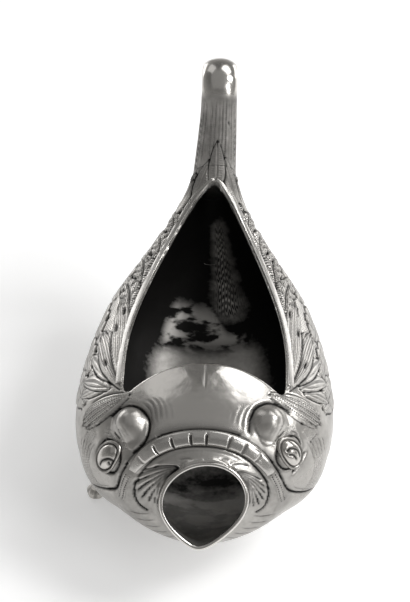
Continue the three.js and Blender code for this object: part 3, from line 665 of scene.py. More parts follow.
def body_chart(side):
    chart = Chart(BODY, side, (-8, 188), NECK_STATION)
    chase_shoulder(chart)
    chase_neck(chart)
    chase_belly(chart)
    chase_face(chart)
    t = chart.station[:, None]
    degrees = chart.degrees[None, :]
    forehead = ease(t, 4.0, 4.15) * (1 - ease(t, 6.9, 7.2)) * (1 - ease(degrees, 24, 30))
    jowl = ease(t, 3.7, 4.1) * (1 - ease(t, 6.2, 7.0)) * ease(degrees, 74, 84)
    lip = 1 - ease(t, 0.6, 1.4)
    keel = ease(degrees, 118, 135)
    behind_face = ease(t, 5.8, 6.4)
    grained = 0.5 * ease(degrees, 36, 50) * (1 - 0.6 * jowl) * (1 - lip)
    # Painted shade on the lower flanks, weaker on the back half of the body.
    painted_flank_shade = ease(degrees, 52, 80) * (1 - 0.6 * ease(t, 6.5, 8))
    neck = ease(t, 12.4, 13.4)
    # Painted shade on the chin.
    painted_chin_shade = (1 - ease(t, 3.3, 3.9)) * (1 - 0.5 * lip)
    face = ease(degrees, 24, 36) * (1 - ease(t, 5.4, 6.2))
    chart.polish = most(forehead, 0.75 * jowl, 0.8 * lip, 0.6 * keel)
    chart.matt = most(chart.matt, 0.5 * behind_face * ease(degrees, 34, 40), grained * (1 - behind_face))
    # A general darkening away from polished places, with the painted shade of the lower flanks and the chin.
    # The face, the jowls and the neck are also darker.
    tone_and_painted_flank_shade = 0.12 * (1 - chart.polish) + 0.28 * painted_flank_shade
    chart.patina = most(chart.patina, tone_and_painted_flank_shade, 0.26 * painted_chin_shade, 0.2 * jowl, 0.24 * face, STEM_PATINA * neck)
    finish_relief(chart)
    return chart


def handle_chart():
    """Pointed leaves at the neck, flutes up the stem, and a polished loop."""
    chart = Chart(HANDLE, 1, (-96, 96), HANDLE_END, pixel=0.2)
    for k, degrees in enumerate(FLUTES):
        top = 3.1 - 0.25 * (k % 2)
        groove(chart, [(-0.4, degrees), (1.5, degrees), (top, 0.95 * degrees)], depth=0.15, width=0.3,
               taper=0.2, dark=0.6)
    for start in (-49, -15, 18, 51):
        band(chart, [(0.2, start), (1.6, start), (2.8, start)], 1.3, dots=0.8)
    neck_leaves(chart, NECK_STATION)
    groove(chart, [(1.9, 26), (1.75, 36), (1.5, 44)], depth=0.3, width=0.42, dark=0.8)
    for side in (-1, 1):
        for t in 0.22 * np.arange(9):
            stroke = [(t, side * 62), (t + 0.16, side * 70), (t + 0.2, side * 82)]
            groove(chart, stroke, depth=0.4, width=0.42, taper=0.3, dark=0.9)
    chart.polish = np.broadcast_to(ease(chart.station[:, None], 2.8, 3.3), chart.height.shape)
    chart.patina = np.maximum(chart.patina, STEM_PATINA * (1 - chart.polish))
    finish_relief(chart)
    return chart


# Meshes.
def add_object(name, data):
    added = bpy.data.objects.new(name, data)
    bpy.context.scene.collection.objects.link(added)
    return added


def signed_volume(mesh):
    places = np.zeros(len(mesh.vertices) * 3)
    mesh.vertices.foreach_get("co", places)
    mesh.calc_loop_triangles()
    corners = np.zeros(len(mesh.loop_triangles) * 3, np.int32)
    mesh.loop_triangles.foreach_get("vertices", corners)
    a, b, c = places.reshape(-1, 3)[corners.reshape(-1, 3)].transpose(1, 0, 2)
    return float((a * np.cross(b, c)).sum()) / 6


def make_piece(name, points, faces, marks=None, sharp=()):
    """Mesh object from points in the belly's millimetres. marks holds values for the points, and sharp
    the pairs of points whose edge is sharp. The neck and the handle lean to one side."""
    moved = np.array(points, float)
    moved[:, 0] += HANDLE_LEAN * ease(moved[:, 2], LEAN_LOW, LEAN_HIGH)
    moved[:, 1] += FRAME_SHIFT
    mesh = bpy.data.meshes.new(name)
    mesh.from_pydata((moved * MM).tolist(), [], faces)
    if signed_volume(mesh) < 0:
        mesh.flip_normals()
    marks = marks or {}
    for key in ATTRIBUTES:
        values = np.array(np.broadcast_to(marks.get(key, 0.0), len(points)), np.float32)
        mesh.attributes.new(key, "FLOAT", "POINT").data.foreach_set("value", values)
    local = np.zeros((len(points), 3), np.float32)
    local[:, :2] = marks.get("local", 0.0)
    mesh.attributes.new("chase", "FLOAT_VECTOR", "POINT").data.foreach_set("vector", local.ravel())
    mesh.polygons.foreach_set("use_smooth", np.ones(len(mesh.polygons), bool))
    if len(sharp):
        pairs = np.zeros(len(mesh.edges) * 2, np.int32)
        mesh.edges.foreach_get("vertices", pairs)
        wanted = {tuple(sorted(pair)) for pair in sharp}
        flags = np.array([tuple(sorted(pair)) in wanted for pair in pairs.reshape(-1, 2).tolist()])
        mesh.attributes.new("sharp_edge", "BOOLEAN", "EDGE").data.foreach_set("value", flags)
    return add_object(name, mesh)


def tube_faces(rings, sides, closed_run=False):
    """Quads between rings of points that are stored one after the other."""
    i, j = np.meshgrid(np.arange(rings if closed_run else rings - 1), np.arange(sides), indexing="ij")
    ahead = (i + 1) % rings
    beside = (j + 1) % sides
    quads = [i * sides + j, i * sides + beside, ahead * sides + beside, ahead * sides + j]
    return np.stack(quads, -1).reshape(-1, 4).tolist()


def closed_tube(name, rings, marks):
    """Tube through rings of points, closed at both ends."""
    count, sides, _ = rings.shape
    faces = tube_faces(count, sides)
    faces.append(list(range(sides))[::-1])
    faces.append([(count - 1) * sides + k for k in range(sides)])
    return make_piece(name, rings.reshape(-1, 3), faces, marks)


# Opening of the bowl, seen from above: how full its flanks are, and how its places crowd at its point.
FLANK_POWER = 0.57
CROWDING = 1.9


def opening_flank(share):
    """Places along the right edge of the opening, from its point to the start of the front corner."""
    y = OPENING_POINT + (CORNER_START - OPENING_POINT) * share ** CROWDING
    along = np.clip((OPENING_POINT - y) / OPENING_LENGTH, 0, 1)
    return np.stack([OPENING_HALF * np.sin(0.5 * np.pi * along) ** FLANK_POWER, y], -1)


def opening_outline():
    """Right side of the opening from its point to the front corner, then along the front edge."""
    corner_x = OPENING_HALF * CORNER_REACH
    f = np.linspace(0, 1, 16)[1:, None]
    start = np.array([OPENING_HALF, CORNER_START])
    turn = np.array([OPENING_HALF, OPENING_CORNER - 1])
    end = np.array([corner_x, OPENING_CORNER])
    corner = start * (1 - f) ** 2 + 2 * turn * f * (1 - f) + end * f * f
    x = corner_x * (1 - np.linspace(0, 1, 50)[1:])
    front_y = OPENING_FRONT + (OPENING_CORNER - OPENING_FRONT) * (x / corner_x) ** 2.2
    return np.vstack([opening_flank(np.linspace(0, 1, 160)), corner, np.stack([x, front_y], -1)])


OUTLINE = opening_outline()
FAR_OUTSIDE = 50.0


def outline_gap(x, y):
    """Distance from the opening's outline in the ground plane, negative inside."""
    x = np.abs(x)
    gap = np.full(x.shape, FAR_OUTSIDE)
    near = (x < OPENING_HALF + 8) & (y < OPENING_POINT + 8) & (y > OPENING_CORNER - 8)
    places = np.stack([x[near], y[near]], -1)
    start, span = OUTLINE[:-1], OUTLINE[1:] - OUTLINE[:-1]
    size = (span ** 2).sum(1)
    found = [np.zeros(0)]
    for chunk in range(0, len(places), 4000):
        p = places[chunk:chunk + 4000, None, :]
        f = np.clip(((p - start) * span).sum(2) / size, 0, 1)
        offset = p - (start + f[..., None] * span)
        distance = np.hypot(offset[..., 0], offset[..., 1])
        rows, k = np.arange(len(p)), distance.argmin(1)
        left_of = span[k, 0] * offset[rows, k, 1] - span[k, 1] * offset[rows, k, 0]
        found.append(np.where(left_of >= 0, distance[rows, k], -distance[rows, k]))
    gap[near] = np.concatenate(found)
    return gap


# Sheet of the body: a net of stations and degrees, cut open along the outline of the bowl's opening,
# which lies above CUT_DEGREES. The net is coarser from PLAIN_FROM on, and its edge has six parts.
CUT_DEGREES = 75
PLAIN_FROM = 112
EDGE_PARTS = 6
# Length of the body along its flank, how much finer the net is over the face, the rounding of the
# opening's edge, and how much of the relief shows on the sheet's inner side.
BODY_RUN = 172
FACE_FOCUS = 1.25
ROUNDING = 0.32
ROUNDED_WIDTH = 0.8
SHOWN_INSIDE = 0.65


def weighted_stations(count, focus):
    """Stations in steps of even length, shorter over the face by the factor focus."""
    reach = np.linspace(0, NECK_STATION, 3000)
    steps = np.diff(guide_length(BODY, reach))
    middle = 0.5 * (reach[1:] + reach[:-1])
    weight = 1 + (focus - 1) * (1 - ease(middle, 6.5, 7.5)) * ease(middle, 0.5, 2.0)
    length = np.concatenate([[0], np.cumsum(steps * weight)])
    return np.interp(np.linspace(0, length[-1], count), length, reach)


def opening_gap(side, t, degrees, offset):
    """How far places on the sheet lie outside the opening, seen from above. Low places are all outside."""
    places = skin(t, side * np.radians(degrees), offset)
    return np.where(degrees < CUT_DEGREES, outline_gap(places[..., 0], places[..., 1]), FAR_OUTSIDE)


def onto_outline(side, t, degrees, offset):
    """Moves places to the nearest part of the outline. Places on the middle line stay on it."""
    t, degrees = t.copy(), degrees.copy()
    on_middle = degrees < 1e-6
    step_t, step_d = 0.004, 0.05
    for _ in range(3):
        here = opening_gap(side, t, degrees, offset)
        slope_t = (opening_gap(side, t + step_t, degrees, offset) - here) / step_t
        slope_d = (opening_gap(side, t, degrees + step_d, offset) - here) / step_d
        slope_d = np.where(on_middle, 0, slope_d)
        size = (slope_t / STATION_MM) ** 2 + (slope_d / DEGREE_MM) ** 2
        share = np.clip(here / np.maximum(size, 1e-6), -3, 3)
        t -= share * slope_t / STATION_MM ** 2
        degrees -= share * slope_d / DEGREE_MM ** 2
    return t, np.maximum(degrees, 0)


def cut_net(side, columns, rows, offset, snap):
    """Triangles of the net outside the opening, with the places of their corners. Also gives the edge of
    the net as one loop, with the part of the edge and the share of its length for each corner."""
    t, degrees = np.meshgrid(columns, rows, indexing="ij")
    number = np.arange(t.size).reshape(t.shape)
    t, degrees = t.ravel(), degrees.ravel()
    gap = opening_gap(side, t, degrees, offset)
    close = np.abs(gap) < snap
    t[close], degrees[close] = onto_outline(side, t[close], degrees[close], offset)
    gap[close] = 0
    a, b = number[:-1, :-1].ravel(), number[1:, :-1].ravel()
    c, d = number[1:, 1:].ravel(), number[:-1, 1:].ravel()
    triangles = np.concatenate([np.stack([a, b, c], -1), np.stack([a, c, d], -1)])
    sign = np.sign(gap).astype(int)
    low, high = sign[triangles].min(1), sign[triangles].max(1)
    kept = triangles[(low >= 0) & (high > 0)].tolist()
    crossings = {}
    extra = []

    def crossing(p, q):
        key = (min(p, q), max(p, q))
        if key not in crossings:
            crossings[key] = len(t) + len(extra)
            share = gap[p] / (gap[p] - gap[q])
            extra.append((t[p] + share * (t[q] - t[p]), degrees[p] + share * (degrees[q] - degrees[p])))
        return crossings[key]

    for corners in triangles[(low < 0) & (high > 0)].tolist():
        ring = []
        for p, q in zip(corners, corners[1:] + corners[:1]):
            if sign[p] >= 0:
                ring.append(p)
            if sign[p] * sign[q] < 0:
                ring.append(crossing(p, q))
        kept += [[ring[0], ring[k], ring[k + 1]] for k in range(1, len(ring) - 1)]
    moved = onto_outline(side, *np.array(extra).T, offset)
    used, kept = np.unique(kept, return_inverse=True)
    kept = kept.reshape(-1, 3)
    t = np.concatenate([t, moved[0]])[used]
    degrees = np.concatenate([degrees, moved[1]])[used]
    on_outline = np.concatenate([gap == 0, np.ones(len(extra), bool)])[used]
    return (kept, t, degrees, *edge_loop(side, kept, t, degrees, on_outline, offset))


def edge_loop(side, triangles, t, degrees, on_outline, offset):
    directed = np.concatenate([triangles[:, [0, 1]], triangles[:, [1, 2]], triangles[:, [2, 0]]])
    known = set(map(tuple, directed.tolist()))
    following = {p: q for p, q in known if (q, p) not in known}
    loop = [int(np.flatnonzero((t < 1e-9) & (degrees < 1e-9))[0])]
    while following[loop[-1]] != loop[0]:
        loop.append(following[loop[-1]])
    loop = np.array(loop)
    at_mouth, at_neck = t[loop] < 1e-9, t[loop] == t.max()
    on_top, below = degrees[loop] < 1e-9, degrees[loop] == degrees.max()
    flagged = np.flatnonzero(on_outline[loop])
    ends = [np.flatnonzero(place)[0] for place in (at_neck & on_top, at_neck & below, at_mouth & below)]
    corners = [0, flagged[0], flagged[-1], *ends, len(loop)]
    places = skin(t[loop], side * np.radians(degrees[loop]), offset)
    length = run_length(np.vstack([places, places[:1]]))
    marks = np.zeros(len(loop))
    for k, (start, end) in enumerate(zip(corners, corners[1:])):
        marks[start:end] = k + (length[start:end] - length[start]) / (length[end] - length[start])
    return loop, marks


def zip_loops(outer, outer_marks, inner, inner_marks):
    """Wall between two loops that run the same way round."""
    outer, inner = [*outer, outer[0]], [*inner, inner[0]]
    outer_marks, inner_marks = [*outer_marks, EDGE_PARTS], [*inner_marks, EDGE_PARTS]
    faces = []
    i = j = 0
    while i < len(outer) - 1 or j < len(inner) - 1:
        if j == len(inner) - 1 or (i < len(outer) - 1 and outer_marks[i + 1] <= inner_marks[j + 1]):
            faces.append([outer[i + 1], outer[i], inner[j]])
            i += 1
        else:
            faces.append([inner[j], inner[j + 1], outer[i]])
            j += 1
    return faces


def inside_painted_shade_and_light(chart, t, degrees):
    """The inside gets painted shade and is near black. Painted reflections lighten the floor of the bowl,
    painted glints a column of bead rows and the punched lines, and painted light the throat and the inner
    lower lip.
    """
    right = chart.side > 0
    # Painted reflection on the floor of the bowl, and painted reflections in patches further back.
    painted_floor_reflection = ease(degrees, 136, 158) * ease(t, 5.5, 8.8) * (1 - ease(t, 9.7, 10.5))
    painted_reflection_patches = ease(degrees, 142, 153) * ease(t, 9.7, 10.3) * (1 - ease(t, 10.7, 11.3))
    if right:
        last = 10.5 + 0.7 * ease(degrees, 166, 180)
        painted_reflection_patches *= ease(degrees, 150, 160) * (1 - ease(t, last - 0.3, last + 0.1))
    # Painted glints on a column of bead rows, which also carry a pattern of veins and dots.
    bead_rows_and_painted_glints = np.exp(-((degrees - (164 if right else 196)) / 14) ** 2) * ease(t, 10.4, 11.0)
    bead_rows_and_painted_glints *= 1 - ease(t, 12.8, 13.3)
    # Painted glints on the lines that stand up inside.
    painted_glints = chart.sample("raised_inside", t, degrees) * (1 - ease(degrees, 140, 150))
    # Painted light in the throat and at the inner lower lip.
    painted_throat_light = 1 - ease(t, 5.5, 7.0)
    lip = (1 - ease(t, 0.25, 0.6)) * ease(degrees, 115, 150)
    painted_light = most(0.74 * painted_floor_reflection, 0.66 * painted_reflection_patches, 0.95 * bead_rows_and_painted_glints, (0.85 if right else 0.5) * painted_glints,
                   0.78 * painted_throat_light, 0.8 * lip)
    return {"patina": 1.15 - painted_light, "mottle": most(painted_reflection_patches, 0.5 * painted_throat_light, 0.5 * bead_rows_and_painted_glints),
            "veins": 1.9 * bead_rows_and_painted_glints, "dots": 1.2 * bead_rows_and_painted_glints}


def body_half(chart, name):
    """One half of the body as a closed sheet with the chased relief on it."""
    side = chart.side
    fine = 0.62
    columns = weighted_stations(int(BODY_RUN / fine * 1.12), FACE_FOCUS)
    rows = np.concatenate([np.arange(0, PLAIN_FROM, fine / DEGREE_MM),
                           np.linspace(PLAIN_FROM, 180, int((180 - PLAIN_FROM) / 1.1))])
    outer_faces, t, degrees, outer_loop, outer_marks = cut_net(side, columns, rows, 0.0, 0.2)
    cut = cut_net(side, weighted_stations(200, 1.0), np.linspace(0, 180, 160), -WALL, 0.35)
    inner_faces, inner_t, inner_degrees, inner_loop, inner_marks = cut

    gap = opening_gap(side, t, degrees, 0.0)
    relief = chart.sample("height", t, degrees) * ease(gap, 0, 1.2) * ease(t, 0.0, 0.35)
    rounding = ROUNDING * np.clip(1 - gap / ROUNDED_WIDTH, 0, 1) ** 2
    outside = skin(t, side * np.radians(degrees), relief - rounding)
    inner_gap = opening_gap(side, inner_t, inner_degrees, -WALL)
    pushed = SHOWN_INSIDE * chart.sample("reverse", inner_t, inner_degrees)
    pushed = np.clip(pushed, -0.5, 0.6) * ease(inner_gap, 0, 2)
    pushed *= ease(inner_t, 0.2, 1.5) * (1 - ease(inner_t, 13, 14))
    inside = skin(inner_t, side * np.radians(inner_degrees), pushed - WALL)
    first_inside = len(outside)
    inner_loop = inner_loop + first_inside
    faces = [*outer_faces.tolist(), *(inner_faces[:, ::-1] + first_inside).tolist(),
             *zip_loops(outer_loop, outer_marks, inner_loop, inner_marks)]

    # Painted shade and painted light for the inside.
    painted_inside = inside_painted_shade_and_light(chart, inner_t, inner_degrees)
    marks = {key: np.concatenate([chart.sample(key, t, degrees), painted_inside.get(key, np.zeros(len(inside)))])
             for key in ATTRIBUTES}
    marks["patina"][:first_inside] *= ease(gap, 0, 0.8)
    sway = 0.5 * np.sin(3.1 * inner_t + 0.21 * inner_degrees) + 0.35 * np.sin(7.3 * inner_t)
    drift = 0.45 * np.sin(0.37 * inner_degrees + 1.7 * inner_t)
    inner_local = np.stack([6.0 * inner_t + drift, 0.45 * inner_degrees + sway], -1)
    marks["local"] = np.vstack([chart.sample("local", t, degrees), inner_local])
    sharp = [pair for loop in (outer_loop.tolist(), inner_loop.tolist())
             for pair in zip(loop, loop[1:] + loop[:1])]
    return make_piece(name, np.vstack([outside, inside]), faces, marks, sharp)


# Pieces laid on the body.
def step_on_skin(t, angle, way):
    """Station and angle reached from a place after a short way along the surface, given as a vector."""
    along, around, step = section_slopes(BODY, t, angle)
    along, around = along / (2 * step), around / (2 * step)
    aa, ar, rr = (along * along).sum(-1), (along * around).sum(-1), (around * around).sum(-1)
    wa, wr = (way * along).sum(-1), (way * around).sum(-1)
    det = aa * rr - ar * ar
    return t + (wa * rr - wr * ar) / det, angle + (wr * aa - wa * ar) / det


def place_over(x, y):
    """Station and angle of the body's top over points of the ground plane."""
    t = np.full(x.shape, NECK_STATION / 2)
    angle = np.where(x < 0, -0.5, 0.5)
    step = 1e-3
    for _ in range(60):
        here = section_point(BODY, t, angle)
        dt = (section_point(BODY, t + step, angle) - here) / step
        da = (section_point(BODY, t, angle + step) - here) / step
        det = dt[..., 0] * da[..., 1] - dt[..., 1] * da[..., 0]
        ex, ey = x - here[..., 0], y - here[..., 1]
        t = t + 0.7 * np.clip((ex * da[..., 1] - ey * da[..., 0]) / det, -1, 1)
        angle = angle + 0.7 * np.clip((ey * dt[..., 0] - ex * dt[..., 1]) / det, -0.3, 0.3)
        t = np.clip(t, 0.5, NECK_STATION - 0.1)
    return t, angle


def strip_on_skin(t, angle, across, heights):
    """Rings of a strip laid on the body. across and heights have one row for each place."""
    forward = unit(np.gradient(skin(t, angle), axis=0))
    sideways = unit(np.cross(section_normal(BODY, t, angle), forward))
    way = sideways[:, None, :] * across[..., None]
    return skin(*step_on_skin(t[:, None] + 0 * across, angle[:, None] + 0 * across, way), heights)


# How far the underside of a strip lies above the sheet's own skin.
SEAT = 0.1
# Section of the flat border: distance from the opening's edge, height, and how dark it is.
RIM_PROFILE = np.array([
    [0.42, 0.2, 0.7], [0.36, 0.42, 0.4], [0.42, 0.6, 0.3], [0.56, 0.7, 0.3], [0.8, 0.74, 0.3],
    [1.1, 0.72, 0.4], [1.4, 0.68, 0.4], [1.7, 0.66, 0.35], [2.0, 0.63, 0.3], [2.3, 0.6, 0.3],
    [2.6, 0.55, 0.3], [2.85, 0.5, 0.3], [3.1, 0.42, 0.35], [3.3, 0.3, 0.6], [3.36, 0.12, 1.0],
    [2.0, 0.12, 1.0],
])


def rim_border():
    flank = opening_flank(np.linspace(0, 1, 1200)[1:])
    x, y = resample(flank, run_length(flank), 300).T
    t, angle = place_over(x, y)
    tip_t, _ = place_over(np.array([0.01]), np.array([OPENING_POINT + 0.3]))
    t = np.concatenate([t[::-1], tip_t, t])
    angle = np.concatenate([-angle[::-1], [0.0], angle])
    run = run_length(skin(t, angle))
    from_point = np.abs(run - run[len(run) // 2])
    width = (0.45 + 0.55 * ease(from_point, 1, 16))[:, None]
    across, height, patina = RIM_PROFILE.T
    rings = strip_on_skin(t, angle, across * width, SEAT + (height - SEAT) * width)
    return closed_tube("rim_border_chased", rings, {"patina": np.tile(patina, len(t))})


# Notches of the band over the mouth: degrees from the middle line, and depth.
NOTCHES = [(-48.5, 0.45), (-34, 0.9), (-20.5, 1.0), (-7.5, 1.0), (3, 1.0), (18.5, 0.85), (30, 0.7),
           (43, 0.35)]


def brow_fillet():
    reach = 62
    degrees = np.linspace(-reach, reach, 420)
    t = 3.48 - 0.52 * (degrees / 60) ** 2
    angle = np.radians(degrees)
    length = run_length(skin(t, angle))
    notch = most(*[depth * np.exp(-((length - np.interp(place, degrees, length)) / 0.5) ** 2)
                   for place, depth in NOTCHES])
    share = np.abs(degrees) / reach
    half = 2.95 * (1 - 0.45 * share ** 4)[:, None]
    height = 1.5 * (1 - 0.9 * share ** 2.6)[:, None]
    level = -np.cos(np.linspace(np.pi, 0, 25))
    rise = np.clip(1 - np.abs(level) ** 3.2, 0, 1) ** 0.6
    cut = notch[:, None] * ease(-level, -0.75, -0.35)
    lift = height * rise * (1 - 0.72 * cut)
    rings = strip_on_skin(t, angle, np.append(level, 0.0) * half,
                          np.concatenate([SEAT + lift, SEAT + 0 * height], 1))
    patina = most((1 - rise) * 0.8, 0.95 * cut, 0.22)
    patina = np.concatenate([patina, np.ones((len(t), 1))], 1)
    return closed_tube("brow_fillet_chased", rings, {"patina": patina.ravel(), "polish": 0.6})


# Wire round the mouth: its radius, how much thicker it is at the pouring lip, and how far it stands out.
WIRE_RADIUS = 0.66
LIP_EXTRA = 0.12
WIRE_AHEAD = 0.6


def lip_wire():
    turns, sides = 260, 18
    angle = full_turn(turns)
    mouth = np.array(0.0)
    up = unit(section_point(BODY, mouth, 0.0) - section_point(BODY, mouth, np.pi))
    out = unit(np.array([0, -up[2], up[1]]))
    zero = np.zeros(turns)
    ahead = unit(skin(zero, angle + 0.02) - skin(zero, angle - 0.02))
    outward = unit(np.cross(out, ahead))
    lower = 0.5 - 0.5 * np.cos(angle)
    radius = (WIRE_RADIUS + LIP_EXTRA * lower ** 3)[:, None, None]
    centre = skin(zero, angle) - outward * WALL / 2 + out * WIRE_AHEAD
    turn = full_turn(sides)[:, None]
    rings = (centre[:, None, :] + out * (radius * np.cos(turn))
             + outward[:, None, :] * (1.15 * radius * np.sin(turn)))
    faces = tube_faces(turns, sides, closed_run=True)
    return make_piece("lip_wire_drawn", rings.reshape(-1, 3), faces, {"polish": 0.9})


def disc(rings, sides):
    """Shares of the radius and angles for the rings of a disc, from its edge almost to its middle."""
    return np.meshgrid(np.linspace(1, 0.02, rings), full_turn(sides), indexing="ij")


def oval_on_skin(t, degrees, lean, length, width, share, turn):
    """Places on the skin inside an oval: share is the distance from its middle, 0 to 1."""
    angle = np.radians(degrees)
    normal = section_normal(BODY, np.array(float(t)), np.array(angle))
    up = unit(np.array([0, 0, 1]) - normal * normal[2])
    long = up * math.cos(lean) + np.cross(up, normal) * math.sin(lean)
    short = np.cross(long, normal)
    along = share * length / 2 * np.cos(turn)
    beside = share * width / 2 * np.sin(turn)
    way = long * along[..., None] + short * beside[..., None]
    st, sa = step_on_skin(np.full(along.shape, float(t)), np.full(along.shape, angle), way)
    return st, sa, along, beside


# Lines cut into the eyes, in shares of half the length (up) and half the width (forwards).
PUPILS = {
    1: [[(-0.36, 0.32), (0, 0.34), (0.32, 0.04), (0.36, -0.3)],
        [(-0.28, -0.08), (-0.03, -0.14), (0.13, -0.34)]],
    -1: [[(-0.2, -0.8), (0.16, -0.7), (0.15, -0.35), (-0.17, -0.04), (-0.48, 0.03)],
         [(-0.1, -0.62), (-0.02, -0.52)]],
}
EYE_LENGTH = 13.5
EYE_WIDTH = 10.0
EYE_HEIGHT = 2.1
LID = 0.78


def eye(side, name):
    share, turn = disc(36, 96)
    st, sa, along, beside = oval_on_skin(EYE_STATION, side * EYE_DEGREES[side], -side * math.radians(14),
                                         EYE_LENGTH, EYE_WIDTH, share, turn)
    x = along / (EYE_LENGTH / 2)
    y = side * beside / (EYE_WIDTH / 2)
    ball = np.clip(1 - (share / LID) ** 2, 0, 1) ** 0.6
    lid = np.sin(np.pi * np.clip((1 - share) / (1 - LID), 0, 1)) * (share > LID)
    trench = np.exp(-((share - LID) / 0.05) ** 2)
    pupil = np.zeros(x.shape)
    for places in PUPILS[side]:
        curve = between(np.array(places, float), np.linspace(0, len(places) - 1, 60))
        distance = np.hypot(x[..., None] - curve[:, 0], y[..., None] - curve[:, 1]).min(-1)
        pupil = np.maximum(pupil, np.exp(-(distance / 0.1) ** 2))
    height = 0.4 + EYE_HEIGHT * ball + 0.6 * lid - 0.1 * trench - 0.4 * pupil
    under = skin(st[[-1, 0]], sa[[-1, 0]], 0.2)
    # The raised lid is darkened against its highlights: painted shade. The trench and the pupil lines hold
    # patina.
    patina = np.concatenate([np.ones(under.shape[:2]), most(trench, pupil, 0.45 * lid)])
    return closed_tube(name, np.concatenate([under, skin(st, sa, height)]),
                       {"patina": patina.ravel(), "polish": 0.4})


# How deep the handle goes into the sheet of the stern, and the degrees from a shell's edge to the seam.
STERN_DEPTH = 0.35
SEAM_DEGREES = 1.2


def handle_ends(angle):
    """Station at which the handle's skin has reached the stern, at each angle round it."""
    stern_t, stern_a = np.meshgrid(np.linspace(9.5, 14, 70), np.radians(np.linspace(110, 250, 70)),
                                   indexing="ij")
    stern = skin(stern_t, stern_a).reshape(-1, 3)
    stern_normal = section_normal(BODY, stern_t, stern_a).reshape(-1, 3)
    trial = np.linspace(10.5, HANDLE_END, 80)
    ends = []
    for a in angle:
        places = skin(trial, np.full(trial.shape, a), table=HANDLE)
        nearest = ((stern ** 2).sum(1) - 2 * places @ stern.T).argmin(1)
        outside = ((places - stern[nearest]) * stern_normal[nearest]).sum(1)
        reached = np.flatnonzero(outside < -STERN_DEPTH)
        ends.append(trial[reached[0]] if len(reached) else HANDLE_END)
    return np.array(ends)


def handle_shell(chart, low, high, count, name):
    """Half of the hollow handle between two angles. The outer half has the chart's relief."""
    degrees = np.linspace(low + SEAM_DEGREES, high - SEAM_DEGREES, 96)
    reach = np.linspace(HANDLE_START, HANDLE_END, 2000)
    guide = run_length(section_point(HANDLE, reach, np.zeros(2000)))
    even = np.interp(np.linspace(0, guide[-1], count), guide, reach)
    share = (even - HANDLE_START) / (HANDLE_END - HANDLE_START)
    t = HANDLE_START + share[:, None] * (handle_ends(np.radians(degrees)) - HANDLE_START)
    angle = np.radians(degrees) + 0 * t
    if chart:
        relief = chart.sample("height", t, degrees + 0 * t)
        marks = {key: chart.sample(key, t, degrees + 0 * t) for key in (*ATTRIBUTES, "local")}
    else:
        relief = 0.0
        marks = {"polish": 0.8 * ease(t, 0.2, 2.4), "patina": STEM_PATINA * (1 - ease(t, 0.2, 2.4))}
    outer = skin(t, angle, relief, HANDLE)
    inner = skin(t, angle, -HANDLE_WALL, HANDLE)[:, ::-1]
    for key, values in marks.items():
        hidden = np.full(values.shape, 0.5 if key == "patina" else 0.0)
        marks[key] = np.concatenate([values, hidden], 1).reshape(-1, *values.shape[2:])
    return closed_tube(name, np.concatenate([outer, inner], 1), marks)


def neck_bulkhead():
    turn = full_turn(72)
    rings = [skin(np.full(72, NECK_STATION - back), turn, -WALL - 0.3) for back in (0.35, 0.23)]
    # The disc sits in the shade inside the neck and is darkened: painted shade.
    return closed_tube("neck_bulkhead_disc", np.stack(rings), {"patina": 0.6})


# Cast feet: a domed pad under the belly and a curled leg that ends in a knuckle with a flat sole.
# Station and degrees of the pad, and x and y of the sole.
FEET = {
    "left_foot": (6.75, -137.0, -44.3, -4.5),
    "right_foot": (7.3, 139.0, 39.87, 7.0),
    "rear_foot": (9.5, 180.0, 0.0, 56.0),
}
FOOT_WIDTH = 7.4
PAD_LENGTH = 15.0
# Half widths of the leg at its root and its ankle and of the knuckle, in shares of FOOT_WIDTH.
LEG_ROOT = 0.52
LEG_ANKLE = 0.3
KNUCKLE = 0.5


def foot(name, t, degrees, sole_x, sole_y):
    angle = math.radians(degrees)
    root = skin(np.array(t), np.array(angle), np.array(0.95))
    outward = section_normal(BODY, np.array(t), np.array(angle))
    level = np.array([sole_x - root[0], sole_y - root[1], 0.0])
    knee = root + outward * root[2] * 0.3 + level * 0.25
    ankle = np.array([sole_x, sole_y, root[2] * 0.34]) - level * 0.12
    spine = np.array([root - outward * 0.6, knee, ankle, [sole_x, sole_y, -2.0]])
    s = np.linspace(0, 1, 90)
    centre = between(spine, s * (len(spine) - 1))
    forward = unit(np.gradient(centre, axis=0))
    beside = unit(np.array([0, 1.0, 0]) - forward * forward[:, 1:2])
    up = np.cross(forward, beside)
    leg = LEG_ROOT + (LEG_ANKLE - LEG_ROOT) * np.minimum(s / 0.62, 1)
    knuckle = KNUCKLE * np.exp(-((s - 0.86) / 0.16) ** 2)
    turn = full_turn(40)
    low_part = ease(s, 0.6, 0.8)[:, None]
    lobes = 0.05 * np.cos(5 * turn)[None, :] * low_part
    collar = 0.12 * np.exp(-((s - 0.58) / 0.03) ** 2)
    body = (FOOT_WIDTH * np.maximum(leg, knuckle))[:, None] * (1 + lobes + collar[:, None])
    rings = (centre[:, None, :] + beside[:, None, :] * (body * np.cos(turn))[..., None]
             + up[:, None, :] * (body * np.sin(turn))[..., None])
    rings[..., 2] = np.maximum(rings[..., 2], 0.0)
    dark = np.clip(0.75 * np.abs(np.gradient(collar)) / 0.02, 0, 0.8)[:, None]
    dark = dark + 0.5 * np.clip(-np.cos(5 * turn), 0, 1) * low_part
    leg_piece = closed_tube(name + "_cast", rings, {"patina": dark.ravel(), "polish": 0.2})

    share, turn = disc(14, 64)
    st, sa, _, _ = oval_on_skin(t, degrees, 0.0, PAD_LENGTH, PAD_LENGTH * 0.72,
                                share * (1 + 0.05 * np.cos(9 * turn)), turn)
    top = skin(st, sa, 0.3 + 1.3 * np.sqrt(np.clip(1 - 0.75 * share ** 2, 0, 1)))
    under = skin(st[[-1, 0]], sa[[-1, 0]], 0.05)
    pad = closed_tube(name + "_pad", np.concatenate([under, top]), {"patina": 0.35, "polish": 0.2})
    return leg_piece, pad


